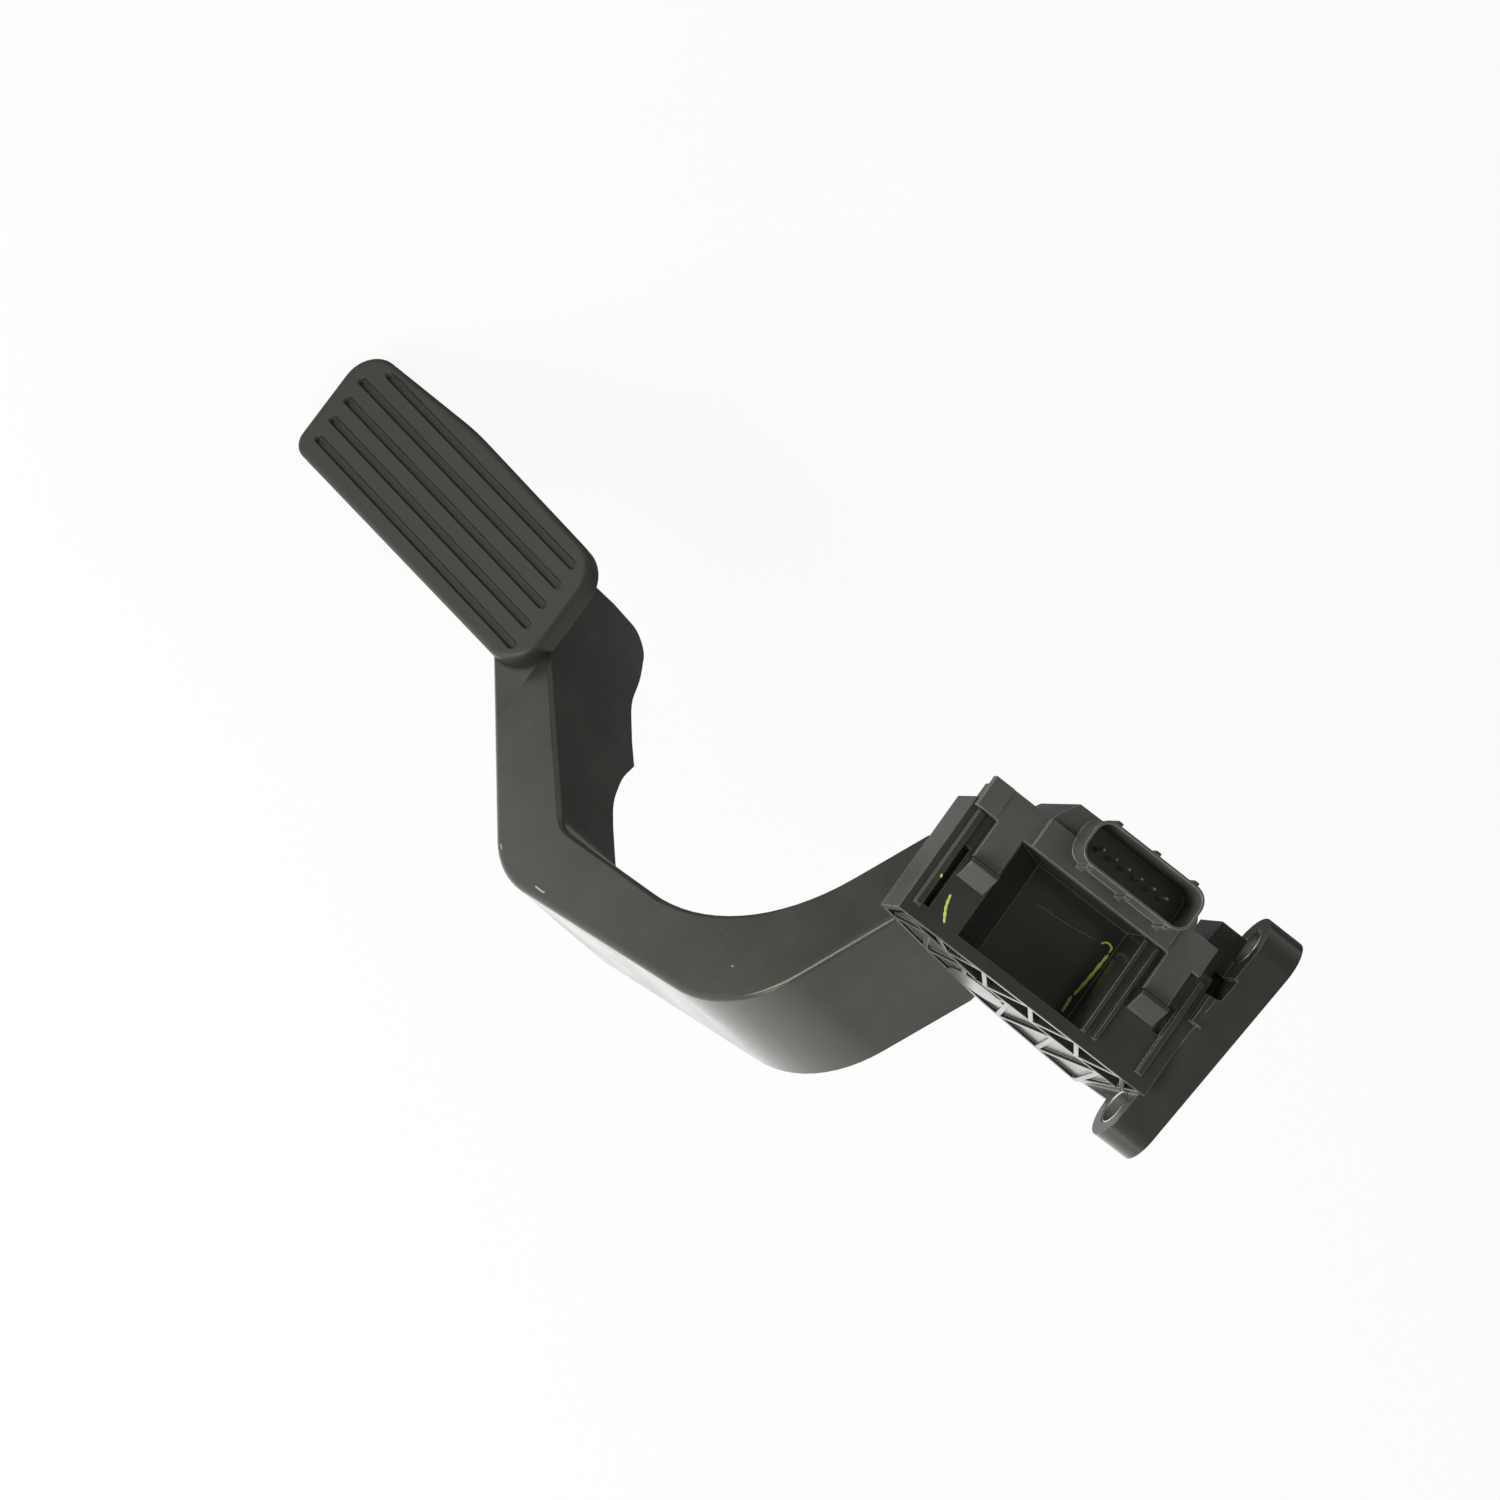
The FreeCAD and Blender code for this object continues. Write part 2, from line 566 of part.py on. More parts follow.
def make_seal():
    """The flat seal between the chamber wall and the cover."""
    return ring(CHAMBER_OUTLINE, CHAMBER_RADII, SEAL_MARGIN, CHAMBER_WALL - SEAL_MARGIN, (COVER_IN_X, CHAMBER_X[0]))


def make_chip(side):
    """One of the two field sensors on the board, beside the pivot axis."""
    y = PIVOT_Y + side * CHIP_OFFSET_Y
    half = 0.5 * CHIP_SIZE
    return box((BOARD_X[1], BOARD_X[1] + CHIP_T), (y - half, y + half), (PIVOT_Z - half, PIVOT_Z + half))


def make_rotor():
    """The magnet carrier on the end of the shaft."""
    return pivot_cylinder(ROTOR_R, ROTOR_X).cut(pivot_cylinder(SHAFT_R, SHAFT_X))


def coil(radius, wire, turns):
    """A square-wire compression spring between the cup and the seat, in flat facets."""
    low, high = SPRING_Z
    half = 0.5 * wire
    climb = high - low - wire
    steps = int(turns * COIL_STEPS)
    sections = []
    for i in range(steps + 1):
        angle = 2.0 * math.pi * i / COIL_STEPS
        out = Vector(math.cos(angle), math.sin(angle), 0)
        centre = Vector(BAY_MID_X, SPRING_Y, low + half + climb * i / steps) + out * radius
        corners = [(-half, -half), (half, -half), (half, half), (-half, half)]
        sections.append([centre + out * side + Vector(0, 0, up) for side, up in corners])
    outlines = [sections[0], sections[-1]]
    for here, ahead in zip(sections, sections[1:]):
        for k in range(4):
            a, b, c, d = here[k - 1], here[k], ahead[k], ahead[k - 1]
            outlines += [[a, b, c], [a, c, d]]
    facets = [Part.Face(Part.makePolygon(points + points[:1])) for points in outlines]
    shell = Part.makeShell(facets)
    shell.sewShape()
    return Part.makeSolid(Part.Shell(shell.Faces))


def spring_disc(radius, low, high, spigot):
    """A round spring seat with a spigot that centres the inner coil."""
    disc = Part.makeCylinder(radius, high - low, Vector(BAY_MID_X, SPRING_Y, low))
    foot = Vector(BAY_MID_X, SPRING_Y, spigot[0])
    return fused([disc, Part.makeCylinder(SPIGOT_R, spigot[1] - spigot[0], foot)])


def make_friction_shoe():
    """The curved shoe under the roof that rubs on the hub and gives the pedal its hysteresis."""
    y = (PIVOT_Y - SHOE_HALF_Y, PIVOT_Y + SHOE_HALF_Y)
    block = box(SHOE_X, y, (PIVOT_Z + SHOE_LOW, RECESS_FLOOR_Z - FLOOR_T))
    return block.cut(pivot_cylinder(HUB_R + 2.0 * RUNNING_GAP, EVERYWHERE))


def make_stop(outline):
    """A rubber travel stop with an outline in (Y, Z)."""
    return side_prism(outline, [STOP_R] * len(outline), STOP_X)


def rest_stop_outline():
    """The rest stop: a block between the horn's face and the sloping ceiling of the bay."""
    face = HORN_FACE_Y + REST_STOP_GAP
    low, high = REST_STOP_Z
    return [(face, low), between(*BAY_CEILING, low), between(*BAY_CEILING, high), (face, high)]


def full_stop_outline():
    """The full-travel stop: a block on the rear wall, behind the horn."""
    (rear, front), (low, high) = FULL_STOP_Y, FULL_STOP_Z
    return [(rear, low), (front, low), (front, high), (rear, high)]


def pad_prism(outline, radii, top, bottom):
    """A solid of a pad outline between two depths under the pad's face."""
    return placed(prism(outline, radii, top, bottom), PAD_FRAME)


def groove(i):
    """One of the long grooves in the pad's face."""
    root_x, root_l = GROOVE_ROOT
    tip_x, tip_l = GROOVE_TIP
    start = Vector(root_x - i * GROOVE_ROOT_PITCH, root_l, 0)
    end = Vector(tip_x - i * GROOVE_TIP_PITCH, tip_l, 0)
    if i == GROOVE_COUNT - 1:
        end = start + (end - start) * LAST_GROOVE_SHARE
    along = (end - start).normalize()
    across = Vector(-along.y, along.x, 0) * (0.5 * GROOVE_W)
    corners = [start + across, start - across, end - across, end + across]
    return prism([(p.x, p.y) for p in corners], sharp(corners), -1.0, GROOVE_DEPTH)


def make_pad():
    """The rubber pad, wrapped over the edge of its plate and grooved along its length."""
    pad = prism(PAD_OUTLINE, PAD_RADII, 0.0, PAD_T + PAD_SKIRT)
    pad = pad.makeChamfer(PAD_EDGE, [e for e in pad.Edges if e.BoundBox.ZMax < 1e-6])
    plate = prism(*inset(PAD_OUTLINE, PAD_RADII, PLATE_INSET), PAD_T, PAD_T + PLATE_T)
    return placed(pad.cut([groove(i) for i in range(GROOVE_COUNT)] + [plate]), PAD_FRAME)


def arm_ribs(room):
    """The crossed stiffening ribs inside the channel."""
    slabs = []
    depths = (ARM_WALL - BURIED, ARM_WALL + ARM_RIB_DEPTH)
    for slant in (-ARM_RIB_SLANT, ARM_RIB_SLANT):
        for i in range(ARM_RIB_COUNT):
            slab = box(EVERYWHERE, (-0.5 * ARM_RIB_T, 0.5 * ARM_RIB_T), depths)
            slab.rotate(Vector(0, 0, 0), Vector(0, 0, 1), slant)
            slab.translate(Vector(ARM_RIB_FIRST[0], ARM_RIB_FIRST[1] + i * ARM_RIB_PITCH, 0))
            slabs.append(slab)
    return room.common(slabs[0].multiFuse(slabs[1:]))


def taper(points, depth):
    """The block behind a sloping back edge, given by two points of (distance down the arm, depth)."""
    (s0, d0), (s1, d1) = points
    outline = [(s0, d0), (s1, d1), (s1, depth), (s0, depth)] if d1 < d0 else [(s0, d0), (s1, d1), (s0, depth)]
    return side_prism(outline, sharp(outline), EVERYWHERE)


def make_channel():
    """The curved channel of the arm in its own frame, with ribs, tapered ends and a shaped inner wall."""
    shell = prism(ARM_OUTLINE, ARM_RADII, 0.0, ARM_DEPTH)
    front_edges = [e for e in shell.Edges if e.BoundBox.ZMax < 1e-6 and e.BoundBox.YMin > ARM_TOP_S + 0.1]
    shell = shell.makeFillet(ARM_EDGE_R, front_edges)
    past = ARM_DEPTH + 1.0
    room = prism(*inset(ARM_OUTLINE, ARM_RADII, ARM_WALL), ARM_WALL, past)
    relief = WALL_RELIEF + [(WALL_RELIEF[-1][0], past), (WALL_RELIEF[0][0], past)]
    relief_solid = placed(prism(relief, RELIEF_RADII, *RELIEF_ACROSS), SHANK_FRAME)
    channel = shell.cut(room).fuse(arm_ribs(room))
    channel = channel.cut([taper(ROOT_TAPER, past), taper(END_TAPER, past), relief_solid])
    fin = [(WALL_FIN[0][0], ARM_WALL), *WALL_FIN, (WALL_FIN[-1][0], ARM_WALL)]
    return fused([channel, placed(prism(fin, FIN_RADII, 0.0, ARM_WALL), SHANK_FRAME)])


def make_arm():
    """The pedal arm: curved channel with ribs, hub, spring lever, stop horn and pad plate."""
    hub = ARM_FRAME.inverse().multVec(Vector(0, PIVOT_Y, PIVOT_Z))
    neck = [(NECK_S, 0.0), (NECK_S, NECK_DEPTH), (hub.y + 3.0, hub.z + 9.5), (hub.y - 6.0, hub.z + 7.5),
            (hub.y - 6.0, hub.z - 7.5), (hub.y - 1.0, hub.z - 9.9)]
    crease_x = between(OUTER_BEND, OUTER_END, CREASE_S)[0] - RISER_SETBACK
    riser = [INNER_END, RISER_END, (crease_x, CREASE_S), between(INNER_BEND, INNER_END, CREASE_S)]
    everything = [(-FAR, -FAR), (FAR, -FAR), (FAR, 2 * FAR), (-FAR, 2 * FAR)]
    above_plate = pad_prism(everything, sharp(everything), -FAR, PAD_T)
    under_plate = pad_prism(everything, sharp(everything), PAD_T + PLATE_T, FAR)
    hollow = placed(prism(*inset(riser, sharp(riser), ARM_WALL), RISER_TOP, ARM_WALL + BURIED), ARM_FRAME)
    arm = fused([
        placed(make_channel(), ARM_FRAME),
        placed(side_prism(neck, sharp(neck), HUB_X), ARM_FRAME),
        pivot_cylinder(HUB_R, HUB_X),
        side_prism(LEVER, sharp(LEVER), HUB_X),
        side_prism(HORN, HORN_RADII, HORN_X),
        pad_prism(*inset(PAD_OUTLINE, PAD_RADII, PLATE_INSET), PAD_T, PAD_T + PLATE_T),
        placed(prism(riser, sharp(riser), RISER_TOP, ARM_WALL), ARM_FRAME).cut(above_plate),
    ])
    pad_room = pad_prism(PAD_OUTLINE, PAD_RADII, -FAR, PAD_T)
    return arm.cut([pad_room, make_pad(), pivot_cylinder(SHAFT_R, EVERYWHERE), hollow.common(under_plate)])


def build():
    """Every node of the assembly by name."""
    nodes = {
        "housing": make_housing(),
        "sensor_cover": make_cover(),
        "cover_seal": make_seal(),
        "circuit_board": box(BOARD_X, BOARD_Y, BOARD_Z),
        "magnet_rotor": make_rotor(),
        "sensor_magnet": pivot_cylinder(MAGNET_R, (ROTOR_X[0] - MAGNET_T, ROTOR_X[0])),
        "bush_sensor_side": make_bush((CHAMBER_X[1], BAY_X[0])),
        "bush_rib_side": make_bush((BAY_X[1], BUSH_END_X)),
        "pivot_shaft": pivot_cylinder(SHAFT_R, SHAFT_X),
        "pedal_arm": make_arm(),
        "pedal_pad": make_pad(),
        "friction_shoe": make_friction_shoe(),
        "spring_seat": spring_disc(SEAT_R, SPRING_Z[1], ROOF_Z, (SPRING_Z[1] - SPIGOT_H, SPRING_Z[1])),
        "spring_cup": spring_disc(CUP_R, LEVER_Z, SPRING_Z[0], (SPRING_Z[0], SPRING_Z[0] + SPIGOT_H)),
        "outer_spring": coil(**OUTER_COIL),
        "inner_spring": coil(**INNER_COIL),
        "rest_stop": make_stop(rest_stop_outline()),
        "full_stop": make_stop(full_stop_outline()),
    }
    for name, side in (("hall_chip_rear", -1), ("hall_chip_front", 1)):
        nodes[name] = make_chip(side)
    for side in BOLTS:
        nodes[f"bolt_sleeve_{side}"] = make_sleeve(side)
    for i, y in enumerate(pin_places(), 1):
        nodes[f"terminal_{i}"] = pin(y, PIN_Z)
    return nodes


os.makedirs("parts", exist_ok=True)
for name, shape in build().items():
    if not shape.isValid() or len(shape.Solids) != 1:
        print(name, "valid", shape.isValid(), "solids", len(shape.Solids))
    shape.exportStep(f"parts/{name}.step")
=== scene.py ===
"""Accelerator pedal sensor in a studio: moulded housing and arm, grooved rubber pad, plug pins and springs.

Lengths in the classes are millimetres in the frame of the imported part: +X is the driver's right and the
pivot axis, +Y points forward through the bulkhead and +Z is up. Meshes are made in metres.
"""
import json
import logging
import math
from dataclasses import dataclass, field, replace
from enum import Enum

import bmesh
import bpy
import numpy as np
from mathutils import Matrix, Vector


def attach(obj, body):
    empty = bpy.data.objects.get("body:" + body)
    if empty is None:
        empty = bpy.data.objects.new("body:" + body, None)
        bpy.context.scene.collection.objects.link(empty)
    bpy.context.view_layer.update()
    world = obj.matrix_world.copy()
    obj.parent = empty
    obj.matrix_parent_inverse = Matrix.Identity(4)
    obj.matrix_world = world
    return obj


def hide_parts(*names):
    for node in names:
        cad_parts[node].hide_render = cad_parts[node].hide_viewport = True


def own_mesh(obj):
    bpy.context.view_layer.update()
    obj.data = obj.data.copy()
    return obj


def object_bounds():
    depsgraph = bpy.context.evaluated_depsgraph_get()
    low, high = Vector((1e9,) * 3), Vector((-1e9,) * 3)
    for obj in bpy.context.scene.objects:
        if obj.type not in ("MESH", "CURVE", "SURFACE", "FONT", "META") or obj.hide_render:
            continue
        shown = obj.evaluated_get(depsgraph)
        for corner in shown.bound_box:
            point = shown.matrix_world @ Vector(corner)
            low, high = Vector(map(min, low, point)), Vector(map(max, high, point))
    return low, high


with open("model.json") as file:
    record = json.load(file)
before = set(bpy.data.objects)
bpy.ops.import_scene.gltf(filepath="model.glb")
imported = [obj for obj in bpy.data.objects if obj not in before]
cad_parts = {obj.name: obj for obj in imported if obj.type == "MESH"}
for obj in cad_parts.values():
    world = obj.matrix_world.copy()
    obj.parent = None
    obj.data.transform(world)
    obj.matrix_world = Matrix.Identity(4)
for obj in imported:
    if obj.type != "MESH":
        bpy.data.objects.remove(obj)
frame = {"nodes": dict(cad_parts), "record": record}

LOG = logging.getLogger("pedal")
MM = 0.001
CAD_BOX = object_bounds()
SHARP_ANGLE = math.radians(30.0)
MERGE_DISTANCE = 2e-6
DARK_PATCH = 0.8
PALE_PATCH = 1.25


class Body(Enum):
    """The two bodies of the part."""

    BASE = "base"
    PEDAL = "pedal"


@dataclass(frozen=True)
class SlopeFrame:
    """A leaning plane through (y, z): across, down the slope and into the object."""

    lean: float
    y: float
    z: float

    def row(self, x: np.ndarray, down: np.ndarray, depth: np.ndarray) -> np.ndarray:
        """Carry points of the plane into the part's frame.

        Args:
            x: distance across, in millimetres.
            down: distance down the slope.
            depth: distance into the object, square to the plane.

        Returns:
            Points in millimetres, with the last axis holding X, Y and Z.
        """
        s, c = math.sin(math.radians(self.lean)), math.cos(math.radians(self.lean))
        x, down, depth = np.broadcast_arrays(x, down, depth)
        return np.stack([x, self.y - s * down + c * depth, self.z - c * down - s * depth], axis=-1)


ARM_PLANE = SlopeFrame(29.0, -80.0, -37.0)
PAD_DOWN = 177.8
PAD_PROUD = 7.15
PAD_ORIGIN = ARM_PLANE.row(np.zeros(1), np.array([PAD_DOWN]), np.array([-PAD_PROUD]))[0]
PAD_PLANE = SlopeFrame(45.0, float(PAD_ORIGIN[1]), float(PAD_ORIGIN[2]))


class NodeSheet:
    """A node tree that is filled from left to right."""

    def __init__(self, tree: bpy.types.NodeTree) -> None:
        """Keep the tree."""
        self.tree = tree

    def add(self, kind: str, **settings: object) -> bpy.types.Node:
        """Add a node.

        Args:
            kind: Blender's name of the node type.
            settings: attributes of the node, or values of its inputs by name with spaces as underscores.

        Returns:
            The new node.
        """
        node = self.tree.nodes.new(kind)
        for key, value in settings.items():
            if hasattr(node, key):
                setattr(node, key, value)
            else:
                node.inputs[key.replace("_", " ")].default_value = value
        return node

    def link(self, source: bpy.types.NodeSocket, target: bpy.types.NodeSocket) -> None:
        """Join an output to an input."""
        self.tree.links.new(source, target)


def moulded_skin_group() -> bpy.types.NodeTree:
    """Make the shared surface group of all moulded and rubber finishes.

    Cloud is a broad noise, Scuff a thin mask of streaks and Normal a bump of fine grain over slow waves.

    Returns:
        The node group, with the inputs Grain, Depth and Wear.
    """
    tree = bpy.data.node_groups.new("moulded_skin", "ShaderNodeTree")
    for name in ("Grain", "Depth", "Wear"):
        tree.interface.new_socket(name, in_out="INPUT", socket_type="NodeSocketFloat")
    tree.interface.new_socket("Cloud", in_out="OUTPUT", socket_type="NodeSocketFloat")
    tree.interface.new_socket("Scuff", in_out="OUTPUT", socket_type="NodeSocketFloat")
    tree.interface.new_socket("Normal", in_out="OUTPUT", socket_type="NodeSocketVector")
    sheet = NodeSheet(tree)
    inputs = sheet.add("NodeGroupInput")
    outputs = sheet.add("NodeGroupOutput")
    place = sheet.add("ShaderNodeTexCoord").outputs["Object"]

    cloud = sheet.add("ShaderNodeTexNoise", Scale=38.0, Detail=4.0, Roughness=0.6)
    sheet.link(place, cloud.inputs["Vector"])
    sheet.link(cloud.outputs["Fac"], outputs.inputs["Cloud"])

    stretch = sheet.add("ShaderNodeMapping", Rotation=(0.4, 0.9, 0.3), Scale=(1.0, 0.12, 1.0))
    sheet.link(place, stretch.inputs["Vector"])
    streak = sheet.add("ShaderNodeTexNoise", Scale=420.0, Detail=3.0, Roughness=0.65)
    sheet.link(stretch.outputs["Vector"], streak.inputs["Vector"])
    thin = sheet.add("ShaderNodeMapRange", From_Min=0.62, From_Max=0.74)
    sheet.link(streak.outputs["Fac"], thin.inputs["Value"])
    patch = sheet.add("ShaderNodeTexNoise", Scale=55.0, Detail=2.0)
    sheet.link(place, patch.inputs["Vector"])
    where = sheet.add("ShaderNodeMapRange", From_Min=0.48, From_Max=0.66)
    sheet.link(patch.outputs["Fac"], where.inputs["Value"])
    both = sheet.add("ShaderNodeMath", operation="MULTIPLY")
    sheet.link(thin.outputs["Result"], both.inputs[0])
    sheet.link(where.outputs["Result"], both.inputs[1])
    worn = sheet.add("ShaderNodeMath", operation="MULTIPLY")
    sheet.link(both.outputs[0], worn.inputs[0])
    sheet.link(inputs.outputs["Wear"], worn.inputs[1])
    sheet.link(worn.outputs[0], outputs.inputs["Scuff"])

    grain = sheet.add("ShaderNodeTexNoise", Detail=2.0, Roughness=0.55)
    sheet.link(place, grain.inputs["Vector"])
    sheet.link(inputs.outputs["Grain"], grain.inputs["Scale"])
    wave = sheet.add("ShaderNodeTexNoise", Scale=22.0, Detail=1.0)
    sheet.link(place, wave.inputs["Vector"])
    slow = sheet.add("ShaderNodeBump", Strength=0.03, Distance=0.002)
    sheet.link(wave.outputs["Fac"], slow.inputs["Height"])
    bump = sheet.add("ShaderNodeBump", Distance=0.0002)
    sheet.link(inputs.outputs["Depth"], bump.inputs["Strength"])
    sheet.link(grain.outputs["Fac"], bump.inputs["Height"])
    sheet.link(slow.outputs["Normal"], bump.inputs["Normal"])
    sheet.link(bump.outputs["Normal"], outputs.inputs["Normal"])
    return tree


@dataclass(frozen=True)
class Finish:
    """A surface finish: colour, gloss, grain and wear."""

    slot: str
    colour: tuple[float, float, float]
    worn: tuple[float, float, float]
    roughness: tuple[float, float]
    grain: float
    depth: float
    wear: float
    metallic: float = 0.0
    specular: float = 0.5
    sheen: tuple[float, float, float] = (1.0, 1.0, 0.86)

    def painted_highlight(self) -> "Finish":
        """The same finish painted paler, as a painted highlight along the rounded edges.

        Returns:
            The finish, with a slot name of its own.
        """
        # Halfway to the worn colour: a painted highlight on the bevels, not real wear.
        pale = tuple(0.5 * (plain + worn) for plain, worn in zip(self.colour, self.worn))
        return replace(self, slot=f"{self.slot}_edge", colour=pale)

    def material(self, skin: bpy.types.NodeTree) -> bpy.types.Material:
        """Make the material.

        Args:
            skin: the shared surface group.

        Returns:
            The material, named after its slot in the record.
        """
        material = bpy.data.materials.new(self.slot)
        material.use_nodes = True
        sheet = NodeSheet(material.node_tree)
        shader = material.node_tree.nodes["Principled BSDF"]
        shader.inputs["Metallic"].default_value = self.metallic
        shader.inputs["Specular IOR Level"].default_value = self.specular
        shader.inputs["Specular Tint"].default_value = (*self.sheen, 1.0)
        surface = sheet.add("ShaderNodeGroup", node_tree=skin,
                            Grain=self.grain, Depth=self.depth, Wear=self.wear)
        shade = sheet.add("ShaderNodeMix", data_type="RGBA")
        tone = sheet.add("ShaderNodeMix", data_type="RGBA")
        tone.inputs["A"].default_value = (*[DARK_PATCH * value for value in self.colour], 1.0)
        tone.inputs["B"].default_value = (*[PALE_PATCH * value for value in self.colour], 1.0)
        patchy = sheet.add("ShaderNodeMapRange", From_Min=0.3, From_Max=0.7)
        sheet.link(surface.outputs["Cloud"], patchy.inputs["Value"])
        sheet.link(patchy.outputs["Result"], tone.inputs["Factor"])
        sheet.link(tone.outputs["Result"], shade.inputs["A"])
        shade.inputs["B"].default_value = (*self.worn, 1.0)
        sheet.link(surface.outputs["Scuff"], shade.inputs["Factor"])
        sheet.link(shade.outputs["Result"], shader.inputs["Base Color"])
        gloss = sheet.add("ShaderNodeMapRange")
        gloss.inputs["To Min"].default_value, gloss.inputs["To Max"].default_value = self.roughness
        sheet.link(patchy.outputs["Result"], gloss.inputs["Value"])
        sheet.link(gloss.outputs["Result"], shader.inputs["Roughness"])
        sheet.link(surface.outputs["Normal"], shader.inputs["Normal"])
        return material


FINISHES = [
    Finish("housing_plastic", (0.024, 0.024, 0.021), (0.075, 0.074, 0.067), (0.20, 0.32),
           grain=3600.0, depth=0.01, wear=0.30, specular=0.35),
    Finish("cover_plastic", (0.064, 0.064, 0.058), (0.130, 0.128, 0.118), (0.28, 0.40),
           grain=3600.0, depth=0.08, wear=0.30, specular=0.45),
    Finish("arm_plastic", (0.025, 0.025, 0.021), (0.080, 0.079, 0.070), (0.20, 0.30),
           grain=3200.0, depth=0.10, wear=0.25, specular=0.35),
    Finish("pad_rubber", (0.021, 0.021, 0.018), (0.060, 0.060, 0.054), (0.46, 0.60),
           grain=2600.0, depth=0.25, wear=0.40, specular=0.35),
    Finish("stop_rubber", (0.014, 0.014, 0.014), (0.04, 0.04, 0.04), (0.60, 0.75),
           grain=900.0, depth=0.35, wear=0.2, specular=0.4),
    Finish("spring_steel", (0.45, 0.45, 0.46), (0.30, 0.27, 0.24), (0.22, 0.38),
           grain=2600.0, depth=0.10, wear=0.5, metallic=1.0),
    Finish("shaft_steel", (0.55, 0.55, 0.55), (0.38, 0.37, 0.35), (0.14, 0.26),
           grain=3000.0, depth=0.06, wear=0.4, metallic=1.0),
    Finish("sleeve_steel", (0.36, 0.35, 0.33), (0.20, 0.18, 0.16), (0.30, 0.48),
           grain=1800.0, depth=0.15, wear=0.6, metallic=1.0),
    Finish("bearing_plastic", (0.55, 0.53, 0.47), (0.40, 0.38, 0.33), (0.38, 0.52),
           grain=1200.0, depth=0.12, wear=0.3),
    Finish("rotor_plastic", (0.12, 0.12, 0.13), (0.2, 0.2, 0.2), (0.36, 0.5),
           grain=1200.0, depth=0.15, wear=0.3),
    Finish("magnet_iron", (0.20, 0.20, 0.21), (0.12, 0.11, 0.11), (0.45, 0.6),
           grain=2200.0, depth=0.3, wear=0.3, metallic=1.0),
    Finish("board_laminate", (0.03, 0.16, 0.08), (0.02, 0.11, 0.05), (0.2, 0.32),
           grain=700.0, depth=0.08, wear=0.5),
    Finish("chip_epoxy", (0.02, 0.02, 0.02), (0.05, 0.05, 0.05), (0.45, 0.58),
           grain=1800.0, depth=0.15, wear=0.2),
    Finish("terminal_tin", (0.52, 0.50, 0.44), (0.36, 0.34, 0.30), (0.40, 0.52),
           grain=2400.0, depth=0.08, wear=0.4, metallic=0.4),
]
PAINT = Finish("paint_mark", (0.46, 0.56, 0.10), (0.30, 0.36, 0.05), (0.42, 0.55),
               grain=900.0, depth=0.15, wear=0.8)
SCRAPE = Finish("bare_scrape", (0.30, 0.30, 0.27), (0.20, 0.20, 0.18), (0.40, 0.60),
                grain=2400.0, depth=0.30, wear=0.8)
MARKS = [PAINT, SCRAPE]
MOULDED = ("housing_plastic", "cover_plastic", "arm_plastic")


class Wardrobe:
    """All materials, by slot."""

    def __init__(self) -> None:
        """Make one material for each finish."""
        skin = moulded_skin_group()
        # Paler copies of the moulded finishes: painted highlights for the bevelled edges.
        painted_highlight = [finish.painted_highlight() for finish in FINISHES if finish.slot in MOULDED]
        self.materials = {finish.slot: finish.material(skin) for finish in [*FINISHES, *MARKS, *painted_highlight]}

    def dress(self, piece: bpy.types.Object, slot: str) -> None:
        """Give a piece the material of a slot."""
        piece.data.materials.clear()
        piece.data.materials.append(self.materials[slot])


def sheet_quads(rows: int, columns: int, wrap_rows: bool = False, wrap_columns: bool = False) -> np.ndarray:
    """Corner numbers of the quads of a grid.

    Args:
        rows: number of rows of points.
        columns: number of points in a row.
        wrap_rows: whether the last row joins the first.
        wrap_columns: whether the last column joins the first.

    Returns:
        One row of four point numbers for each quad.
    """
    numbers = np.arange(rows * columns).reshape(rows, columns)
    if wrap_rows:
        numbers = np.vstack([numbers, numbers[:1]])
    if wrap_columns:
        numbers = np.hstack([numbers, numbers[:, :1]])
    corners = [numbers[:-1, :-1], numbers[:-1, 1:], numbers[1:, 1:], numbers[1:, :-1]]
    return np.stack(corners, axis=-1).reshape(-1, 4)


def piece_from(name: str, patches: list[tuple[np.ndarray, np.ndarray]]) -> bpy.types.Object:
    """Make one object of several point grids.

    Args:
        name: name of the piece.
        patches: grids of points in millimetres, each with the corner numbers of its quads.

    Returns:
        The object, smooth and linked to the scene.
    """
    points, quads, start = [], [], 0
    for grid, corners in patches:
        flat = grid.reshape(-1, 3) * MM
        points.append(flat)
        quads.append(corners + start)
        start += len(flat)
    mesh = bpy.data.meshes.new(name)
    mesh.from_pydata(np.vstack(points).tolist(), [], np.vstack(quads).tolist())
    mesh.polygons.foreach_set("use_smooth", np.ones(len(mesh.polygons), dtype=bool))
    mesh.update()
    return linked(name, mesh)


def linked(name: str, mesh: bpy.types.Mesh) -> bpy.types.Object:
    """An object of a mesh, linked to the scene."""
    piece = bpy.data.objects.new(name, mesh)
    bpy.context.scene.collection.objects.link(piece)
    return piece


def place(piece: bpy.types.Object, body: Body, slot: str, wardrobe: Wardrobe, *nodes: str) -> None:
    """Dress a piece, let it ride on a body and stand for CAD nodes.

    Args:
        piece: the piece.
        body: the body that it moves with.
        slot: the record's material slot.
        wardrobe: the materials.
        nodes: the CAD nodes that it replaces.
    """
    wardrobe.dress(piece, slot)
    if nodes:
        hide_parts(*nodes)
    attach(piece, body.value)
    LOG.info("%s rides on %s", piece.name, body.value)


